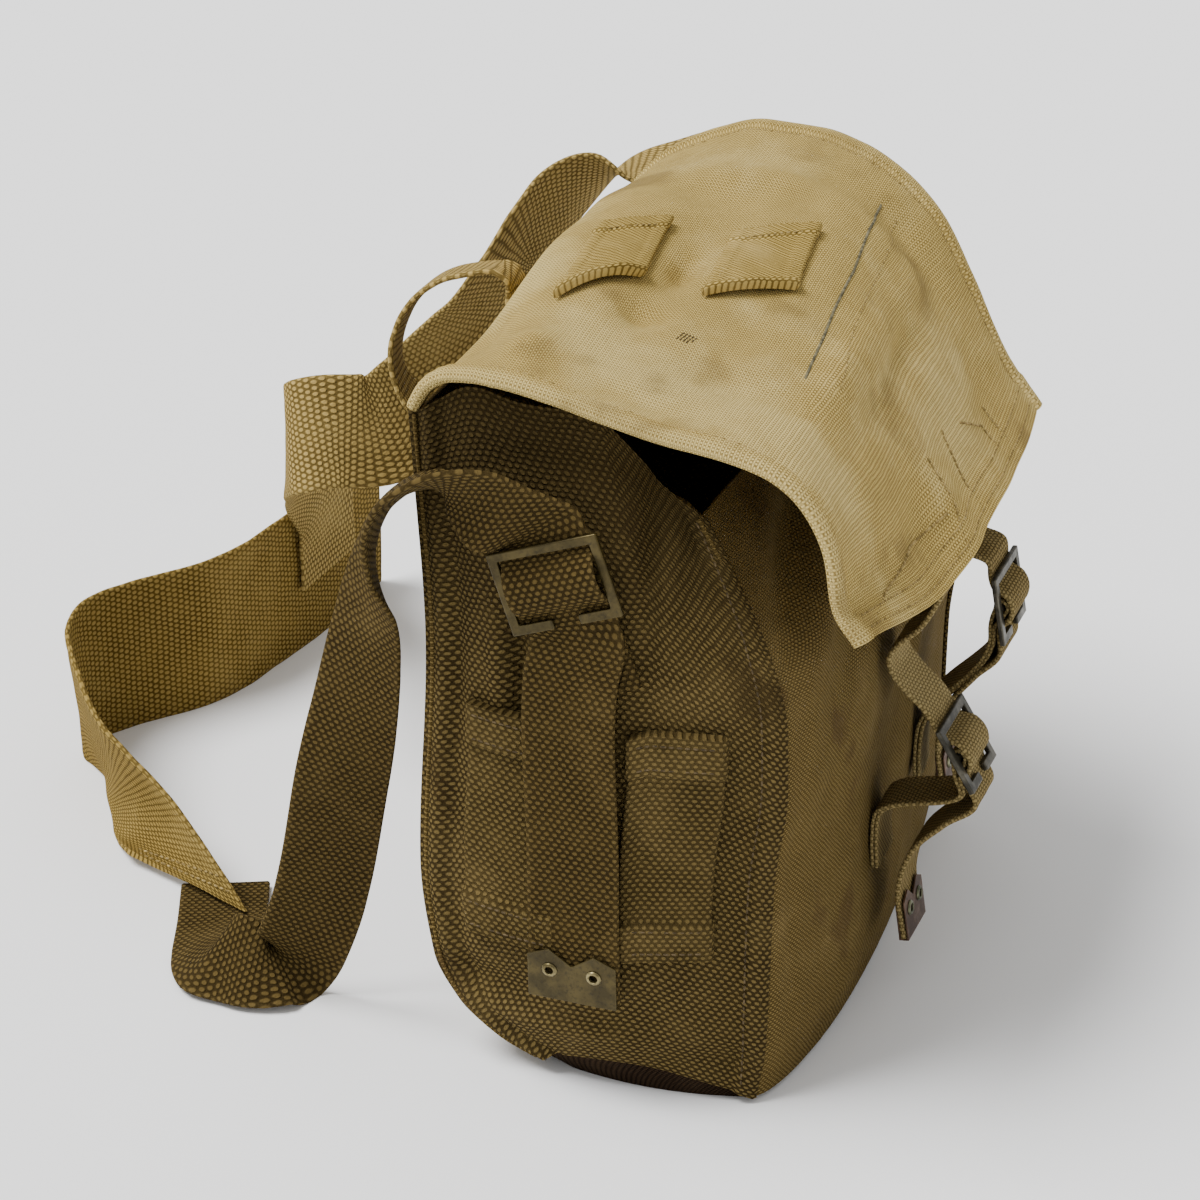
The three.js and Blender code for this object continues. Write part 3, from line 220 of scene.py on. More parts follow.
def woven(name, gap, thread, faded, across, along, depth, fade=(0.45, 0.62), edge=None, rib=0.0,
          stain=None, stain_at=(0.60, 0.72), wear=0.45, shade_and_grime=None):
    """Woven cloth. Plump seeds stand staggered where 2 cos b (cos a + cos b) - 1 is high, for the
    angles a and b of the two thread directions, in millimetres of the piece's own map. The cloth fades
    in large patches, and along the edges where edge is (map width, reach of the wear). The last
    argument, if given, is (from height, to height, share): the colour darkens towards the top, with the
    height in metres, as painted shade under the lid and partly grime."""
    material = bpy.data.materials.new(name)
    material.use_nodes = True
    tree = material.node_tree
    shader = tree.nodes["Principled BSDF"]
    where = add_node(tree, "ShaderNodeTexCoord")
    solid = where.outputs["Object"]
    split = add_node(tree, "ShaderNodeSeparateXYZ", {0: where.outputs["UV"]})
    # the threads wander a little to both sides
    wander = noise(tree, solid, 120, 2)
    shift = math_node(tree, "MULTIPLY_ADD", wander, across * 0.5, -across * 0.25)
    x = math_node(tree, "ADD", split.outputs[0], shift)
    y = math_node(tree, "ADD", split.outputs[1], shift)
    cx = math_node(tree, "COSINE", math_node(tree, "MULTIPLY", x, 2 * math.pi / across))
    cy = math_node(tree, "COSINE", math_node(tree, "MULTIPLY", y, 2 * math.pi / along))
    agree = math_node(tree, "MULTIPLY_ADD", math_node(tree, "MULTIPLY", math_node(tree, "ADD", cx, cy), cy),
                      2.0, -1.0)
    seeds = ramp(tree, agree, -1.15, 1.0)
    if rib:
        seeds = math_node(tree, "MULTIPLY_ADD", cx, rib, math_node(tree, "MULTIPLY", seeds, 1 - rib))
    # fuzz, uneven seeds, and the cloth's larger patches
    fine = noise(tree, solid, 1500, 3, 0.7)
    uneven = noise(tree, solid, 260, 1)
    middling = noise(tree, solid, 70, 4)
    large = noise(tree, solid, 13, 5, 0.6)
    seeds = math_node(tree, "MULTIPLY", seeds, math_node(tree, "MULTIPLY_ADD", uneven, 0.9, 0.5))
    height = math_node(tree, "MULTIPLY_ADD", fine, 0.5, seeds)
    lit = math_node(tree, "MULTIPLY_ADD", middling, 0.3, math_node(tree, "MULTIPLY", height, 0.7))
    cloth = blend(tree, ramp(tree, lit, 0.20, 0.92), gap, thread)
    pale = ramp(tree, large, *fade)
    if edge:
        side = math_node(tree, "ABSOLUTE", math_node(tree, "SUBTRACT", split.outputs[0], edge[0] / 2))
        worn = ramp(tree, math_node(tree, "MULTIPLY_ADD", middling, edge[1], side),
                    edge[0] / 2 - edge[1] * 0.6, edge[0] / 2 + edge[1] * 0.55)
        pale = math_node(tree, "MAXIMUM", pale, math_node(tree, "MULTIPLY", worn, wear))
    tips = math_node(tree, "MULTIPLY", math_node(tree, "MULTIPLY", pale, 0.7), ramp(tree, height, -0.2, 0.9))
    cloth = blend(tree, tips, cloth, faded)
    if stain:
        mark = ramp(tree, noise(tree, solid, 22, 3, 0.5), *stain_at)
        cloth = blend(tree, math_node(tree, "MULTIPLY", mark, 0.55), cloth, stain)
    # painted shade under the lid, partly grime: the colour darkens towards the top
    if shade_and_grime:
        level = add_node(tree, "ShaderNodeSeparateXYZ", {0: solid}).outputs[2]
        dark = math_node(tree, "MULTIPLY", ramp(tree, level, shade_and_grime[0], shade_and_grime[1]), shade_and_grime[2])
        cloth = blend(tree, dark, cloth, gap)
    tree.links.new(cloth, shader.inputs["Base Color"])
    tree.links.new(math_node(tree, "MULTIPLY_ADD", fine, 0.2, 0.78), shader.inputs["Roughness"])
    bump = add_node(tree, "ShaderNodeBump", {"Height": height, "Distance": depth / 1000,
                                             "Strength": 1.0})
    tree.links.new(bump.outputs[0], shader.inputs["Normal"])
    shader.inputs["Specular IOR Level"].default_value = 0.04
    return material


def grid(us, vs):
    """The two shares of every place on a grid, rows down v and columns along u."""
    return np.meshgrid(np.asarray(us, float), np.asarray(vs, float))


def waves(p, size, count, seed):
    """Smooth unevenness from -1 to 1: a sum of sines in fixed directions over the points."""
    rng = np.random.default_rng(seed)
    total = np.zeros(p.shape[:-1])
    for _ in range(count):
        direction = rng.normal(size=3)
        direction /= np.linalg.norm(direction)
        total += np.sin((p @ direction) * 2 * np.pi / (size * rng.uniform(0.7, 1.6)) + rng.uniform(0, 6.28))
    return total / np.sqrt(count * 2)


# its tone is partly painted shade: drawn darker than the lid's cloth for the walls turned from the light,
# and darker still towards the top for the shade under the lid, partly grime
gusset_cloth = woven("seed webbing, olive", (.028, .018, .006), (.160, .112, .038), (.205, .145, .054),
                     3.45, 4.5, 1.25, fade=(0.5, 0.8), stain=(.045, .028, .010), shade_and_grime=(.19, .285, .6))
FOOT, GUSSET_CREST = 2.5, 9.0
# along the seams: how far from the edge, half width, height (mm)
FRONT_STRIP, BACK_RIDGE, BACK_GROOVE = (5, 5, 2.2), (9, 3.4, 2.2), (16, 2.4, -1.5)
# creases of the near gusset: depth across (mm), height (mm), half width, half height, how deep (mm)
GUSSET_CREASES = [(-24, 262, 5, 44, -7), (-42, 268, 12, 46, -6), (31, 200, 3.5, 30, -6), (40, 202, 4, 26, 3),
                  (-62, 20, 30, 8, -3), (52, 44, 22, 8, -4), (20, 30, 40, 6, 2.5),
                  (60, 160, 5, 130, -2.5), (42, 225, 12, 30, 2.5), (-10, 60, 40, 10, 1.6),
                  (-58, 120, 6, 70, -1.2), (8, 292, 34, 9, -3)]


def gusset(end, name):
    """The wall between its seams, from the arched foot to a crest behind the middle, with smooth dents
    on the near one, and with a raised strip, a ridge and a groove along its seams."""
    us, vs = grid(np.linspace(-0.012, 1.012, 74), np.linspace(0, 1, 130))
    foot = (FOOT + GUSSET_ARCH * np.sin(np.pi * np.clip(us, 0, 1))) / BACK_HEIGHT
    t = foot + (1 - foot) * vs
    p = gusset_at(end, us, t)
    p[..., 2] += GUSSET_CREST * np.exp(-((us - .79) / .14) ** 2) * vs ** 8
    n = normals_of(p, (end, 0, 0))
    lift = 0.5 * waves(p, 46, 9, 3)
    if end < 0:
        for y, z, wide, tall, deep in GUSSET_CREASES:
            lift += deep * np.exp(-((p[..., 1] - y) / wide) ** 2 - ((p[..., 2] - z) / tall) ** 2)
    width = np.linalg.norm(np.diff(p, axis=1), axis=-1).cumsum(1)
    width = np.concatenate([np.zeros((len(p), 1)), width], 1)
    from_back = width[:, -1:] - width
    strip = FRONT_STRIP[2] * np.exp(-((width - FRONT_STRIP[0]) / FRONT_STRIP[1]) ** 8)
    ridge = BACK_RIDGE[2] * np.exp(-((from_back - BACK_RIDGE[0]) / BACK_RIDGE[1]) ** 2)
    groove = BACK_GROOVE[2] * np.exp(-((from_back - BACK_GROOVE[0]) / BACK_GROOVE[1]) ** 2)
    edge = np.clip(np.minimum(us + .012, 1.012 - us) * 14, 0, 1)
    p = p + n * (lift * edge + strip + ridge + groove)[..., None]
    rows = np.linalg.norm(np.diff(p, axis=0), axis=-1).cumsum(0)
    rows = np.concatenate([np.zeros((1, p.shape[1])), rows], 0)
    uv = np.stack([width, rows.mean(1, keepdims=True) + 0 * width], -1)
    shell(name, p, (end, 0, 0), 0.0, -CANVAS, uv, gusset_cloth,
          replaces=("gusset_near" if end < 0 else "gusset_far",))


gusset(-1, "near_gusset")
gusset(1, "far_gusset")

# ---------------------------------------------------------------- front, back and base
# The main canvas: a plain weave of a mid olive tan, swollen at the front. Each panel is one cloth,
# seamed to the gussets at its sides. The base lies flat with its ends turned up.
FRONT_BULGE, BACK_BULGE = 14.0, 5.0
# its tone is partly painted shade: drawn darker than the lid's cloth for the front turned from the light,
# and darker still towards the top for the shade under the lid, partly grime; the back shares it
front_cloth = woven("plain canvas, tan olive", (.075, .049, .014), (.215, .149, .050), (.28, .20, .078),
                    2.3, 2.3, 0.95, fade=(0.50, 0.75), stain=(.085, .050, .020), stain_at=(.62, .72),
                    shade_and_grime=(.19, .255, .5))
# creases of the front, each rising to one side by CREASE_SLANT: along (mm), height (mm), half width,
# half height, how far out (mm)
CREASE_SLANT = 0.35
FRONT_CREASES = [(-86, 205, 46, 12, 5), (-66, 236, 50, 10, -6), (-104, 170, 18, 30, 2.5),
                 (-20, 196, 60, 9, -4), (30, 150, 14, 60, 2.5), (-62, 60, 20, 60, 2), (60, 50, 24, 40, -2),
                 (-118, 110, 5, 90, -1.5)]


def front_at(a, t):
    """Near front seam to far front seam at share a, bowed out, most a little to the near side."""
    p = seam_line(FRONT_SEAM, FRONT_HEIGHT, -1, t)
    q = seam_line(FRONT_SEAM, FRONT_HEIGHT, 1, t)
    p = p + (q - p) * a[..., None]
    p[..., 1] -= FRONT_BULGE * column(SWELL, t)[..., 1] * bow(np.clip(a, 0, 1) ** 0.7)
    return p


def back_at(a, t):
    """Near back seam to far back seam at share a, bowed out a little."""
    p = seam_line(BACK_SEAM, BACK_HEIGHT, -1, t)
    q = seam_line(BACK_SEAM, BACK_HEIGHT, 1, t)
    p = p + (q - p) * a[..., None]
    p[..., 1] += BACK_BULGE * column(SWELL, t)[..., 2] * bow(a)
    return p


def measured_uv(p):
    """The piece's own map: millimetres along its middle row and its middle column."""
    rows, cols = p.shape[:2]
    x = np.linalg.norm(np.diff(p[rows // 2], axis=0), axis=-1).cumsum()
    y = np.linalg.norm(np.diff(p[:, cols // 2], axis=0), axis=-1).cumsum()
    x, y = np.concatenate([[0], x]), np.concatenate([[0], y])
    return np.stack(np.broadcast_arrays(x[None, :], y[:, None]), -1)


us, vs = grid(np.linspace(-0.004, 1.004, 120), np.linspace(2.7 / FRONT_HEIGHT, 1, 110))
p = front_at(us, vs)
lift = 0.9 * waves(p, 58, 10, 11) + 0.35 * waves(p, 21, 8, 12)
for x, z, wide, tall, out in FRONT_CREASES:
    slant = (p[..., 0] - x) * CREASE_SLANT
    lift = lift + out * np.exp(-((p[..., 0] - x) / wide) ** 2 - ((p[..., 2] - z - slant) / tall) ** 2)
lift *= np.clip(np.minimum(us, 1 - us) * 14, 0, 1) * np.clip(vs * 12, 0, 1)
p[..., 1] -= lift
shell("front", p, (0, -1, 0), 0.0, -CANVAS, measured_uv(p), front_cloth,
      replaces=("front_panel",))
heights = np.concatenate([np.linspace(.0135, .1, 22), np.linspace(.105, 1, 76)])
us, vs = grid(np.linspace(-0.004, 1.004, 96), heights)
p = back_at(us, vs)
lift = 0.8 * waves(p, 70, 9, 21)
lift = lift * np.clip(np.minimum(us, 1 - us) * 12, 0, 1) * np.clip(vs * 8 - .3, 0, 1)
p[..., 1] += lift
shell("back", p, (0, 1, 0), 0.0, -CANVAS, measured_uv(p), front_cloth,
      replaces=("back_panel",))
# the base's turned up ends: how far inside the gusset, and how high (mm)
RIM, RIM_HEIGHT = 3.7, 14.0
ends = []
for end in (-1, 1):
    s, t = grid(np.linspace(0.02, 0.93, 40), np.linspace(RIM_HEIGHT / BACK_HEIGHT, 0, 7))
    rim = gusset_at(end, s, t)
    rim[..., 0] -= end * RIM
    ends.append(rim)
s, a = grid(np.linspace(0.02, 0.93, 40), np.linspace(0.03, 0.97, 40))
floor_part = ends[0][-1][None] + (ends[1][-1] - ends[0][-1])[None] * a[..., None]
floor_part[..., 1] -= FRONT_BULGE * 1.1 * bow(a ** 0.7) * (1 - s) ** 2
p = np.concatenate([ends[0], floor_part, ends[1][::-1]])
# its near black is partly painted shade, for the dark gap under the gussets' arched feet, and partly soiling
grimy_shaded_base_canvas = woven("soiled_and_shaded canvas of the base", (.006, .003, .002), (.040, .024, .013), (.07, .045, .025),
                    2.3, 2.3, 0.5)
shell("base", p, (0, 0, -1), 0.0, -CANVAS, measured_uv(p), grimy_shaded_base_canvas,
      replaces=("base_panel",))


# ---------------------------------------------------------------- lid
# The loose top cover: a finer canvas with a fine rib, domed over the load; its pale tone is partly
# painted light, the lit top drawn lighter than the walls' cloth. Its sides are rolled hems, stitched
# twice, and its back edge is sewn to the back.
LID_REACH, LID_FLARE, LID_GAP, LID_THICK, LID_HEM, HEM_WIDE = 1.03, 7.0, 0.3, 2.0, 5.6, 7.5
# share of the bag's length that the lid covers at its back edge, and how much its far side widens
HINGE_REACH, FAR_SPREAD = .965, .02
# how far the middle of the front edge is drawn out, and the cloth's own map, along and down (mm)
LID_LIP, LID_MAP_ALONG, LID_MAP_DOWN = 13, 300, 285
FRONT_HEM_WIDE, FRONT_HEM, PUCKER, PUCKER_PITCH = 13, 0.7, 0.30, 3.1
# share down the lid, depth (share of half the bag's depth), rise (share of its height)
LID_NEAR = [(0, 1.05, .002), (.05, .95, .045), (.1, .82, .067), (.2, .55, .078), (.32, .20, .068),
            (.44, -.10, .052), (.56, -.42, .036), (.66, -.70, .027), (.73, -.93, .014),
            (.79, -1.13, -.02), (.86, -1.28, -.09), (.93, -1.33, -.165), (1, -1.45, -.215)]
LID_FAR = [(0, 1.05, .002), (.1, .85, .052), (.22, .55, .095), (.33, .28, .115), (.44, -.04, .114),
           (.55, -.28, .099), (.65, -.54, .062), (.74, -.76, .004), (.82, -.93, -.076),
           (.9, -1.10, -.172), (1, -1.38, -.275)]
# where along and down, how wide and long, how high (mm)
LID_DENTS = [(.2, .04, .12, .1, -13), (.42, .36, .2, .07, -5), (.3, .3, .12, .14, 3), (.62, .6, .16, .12, 5),
             (.3, 1, .22, .2, -13), (.75, .92, .15, .12, -5), (.55, .08, .3, .2, 11)]
LID_CREASES = [(.30, .36, .035, .05, -2.5), (.47, .37, .05, .03, -3), (.72, .30, .05, .10, -2.5),
               (.80, .45, .04, .16, 2), (.20, .60, .05, .12, -2), (.36, .74, .10, .03, 2.5),
               (.60, .80, .16, .025, -2.5), (.86, .70, .05, .10, -3), (.12, .22, .05, .05, 3),
               (.07, .45, .03, .10, -1.5), (.45, .93, .05, .06, 2.5)]


def lid_at(u, v):
    """Near side to far side at share u, at share v from the back edge to the front edge, plus
    rounded dents, and the front edge drawn out in the middle."""
    u, v = np.broadcast_arrays(np.asarray(u, float), np.asarray(v, float))
    near, far = column(LID_NEAR, v), column(LID_FAR, v)
    start = np.clip(v * 5, 0, 1)
    reach = HINGE_REACH + (LID_REACH - HINGE_REACH) * start
    flare = np.sin(np.pi * np.clip(v, 0, 1)) * LID_FLARE
    a = np.stack([-BAG_LENGTH / 2 * reach - flare / 2, near[..., 0] * BAG_DEPTH / 2,
                  BACK_HEIGHT * (1 + near[..., 1]) + LID_GAP], -1)
    b = np.stack([BAG_LENGTH / 2 * (HINGE_REACH + FAR_SPREAD * start), far[..., 0] * BAG_DEPTH / 2,
                  BACK_HEIGHT - FAR_DROP + BACK_HEIGHT * far[..., 1] + LID_GAP], -1)
    p = a + (b - a) * u[..., None]
    hinge = np.clip(v * 12, 0, 1)
    for along, down, wide, long, rise in LID_DENTS:
        p[..., 2] += rise * np.exp(-((u - along) / wide) ** 2 - ((v - down) / long) ** 2) * hinge
    p[..., 1] -= LID_LIP * np.sin(np.pi * np.clip(u, 0, 1)) * np.clip(v - .8, 0, 1) * 5
    return p


def lid_surface(us, vs):
    """The lid's underside with its small creases and unevenness."""
    p = lid_at(us, vs)
    n = normals_of(p, (0, 0, 1))
    lift = 1.1 * waves(p, 62, 10, 5) + 0.5 * waves(p, 24, 9, 6)
    for along, down, wide, long, rise in LID_CREASES:
        lift = lift + 2.0 * rise * np.exp(-((us - along) / wide) ** 2 - ((vs - down) / long) ** 2)
    lift = lift * np.clip(vs * 9, 0, 1) * np.clip(np.minimum(us, 1 - us) * 22 + .25, 0, 1)
    return p + n * lift[..., None]


def top_of_lid(us, vs, above=0.0):
    """Points on the lid's upper face, and its normals there, which come from small steps both ways."""
    us, vs = np.broadcast_arrays(np.asarray(us, float), np.asarray(vs, float))
    shape = us.shape
    u, v = us.ravel(), vs.ravel()
    step = 0.004
    blocks = np.stack([lid_surface(*grid([a - step, a, a + step], [b - step, b, b + step]))
                       for a, b in zip(u, v)])
    middle = blocks[:, 1, 1]
    n = np.cross(blocks[:, 1, 2] - blocks[:, 1, 0], blocks[:, 2, 1] - blocks[:, 0, 1])
    n /= np.linalg.norm(n, axis=-1, keepdims=True)
    n *= np.where(n[:, 2:3] < 0, -1, 1)
    lift = LID_THICK + above
    return (middle + n * lift).reshape(*shape, 3), n.reshape(*shape, 3)


# its pale tone is partly painted light: the lit top drawn lighter than the walls' cloth
lid_cloth = woven("fine ribbed canvas, light tan", (.25, .168, .046), (.68, .50, .165), (.80, .63, .26),
                  1.9, 2.2, 0.75, fade=(.46, .66), edge=(LID_MAP_ALONG, 5), rib=.2, stain=(.20, .135, .05),
                  stain_at=(.55, .70), wear=.8)
hem_share = HEM_WIDE / BAG_LENGTH
side = np.concatenate([np.linspace(0, hem_share, 9), np.linspace(hem_share * 1.12, hem_share * 1.6, 3)])
us, vs = grid(np.concatenate([side, np.linspace(hem_share * 2.2, 1 - hem_share * 2.2, 122),
                              1 - side[::-1]]), np.linspace(.004, 1, 170))
p = lid_surface(us, vs)
# rolled hems along both sides, a flat hem along the front, and puckers between the stitches
from_edge = np.minimum(us, 1 - us) * BAG_LENGTH
hem = np.clip((HEM_WIDE - from_edge) / 1.4, 0, 1)
hem = hem * hem * (3 - 2 * hem) * (LID_HEM - LID_THICK) / 2
from_front = (1 - vs) * LID_MAP_DOWN
front_hem = np.clip((FRONT_HEM_WIDE - from_front) / 1.2, 0, 1) * FRONT_HEM
roll = np.sqrt(np.clip(1 - ((from_edge - HEM_WIDE / 2) / (HEM_WIDE / 2)) ** 2, 0, 1)) * .5
puckers = PUCKER * np.sin(vs * LID_MAP_DOWN / PUCKER_PITCH * 2 * np.pi / 2.2)
puckers = puckers * np.exp(-((from_edge - 5.5) / 3) ** 2)
uv = np.stack([us * LID_MAP_ALONG, vs * LID_MAP_DOWN], -1)
high = LID_THICK + hem + front_hem + roll * (hem > .3) + puckers * .5
shell("lid_cloth", p, (0, 0, 1), high, -hem * .9, uv, lid_cloth, replaces=("lid",))

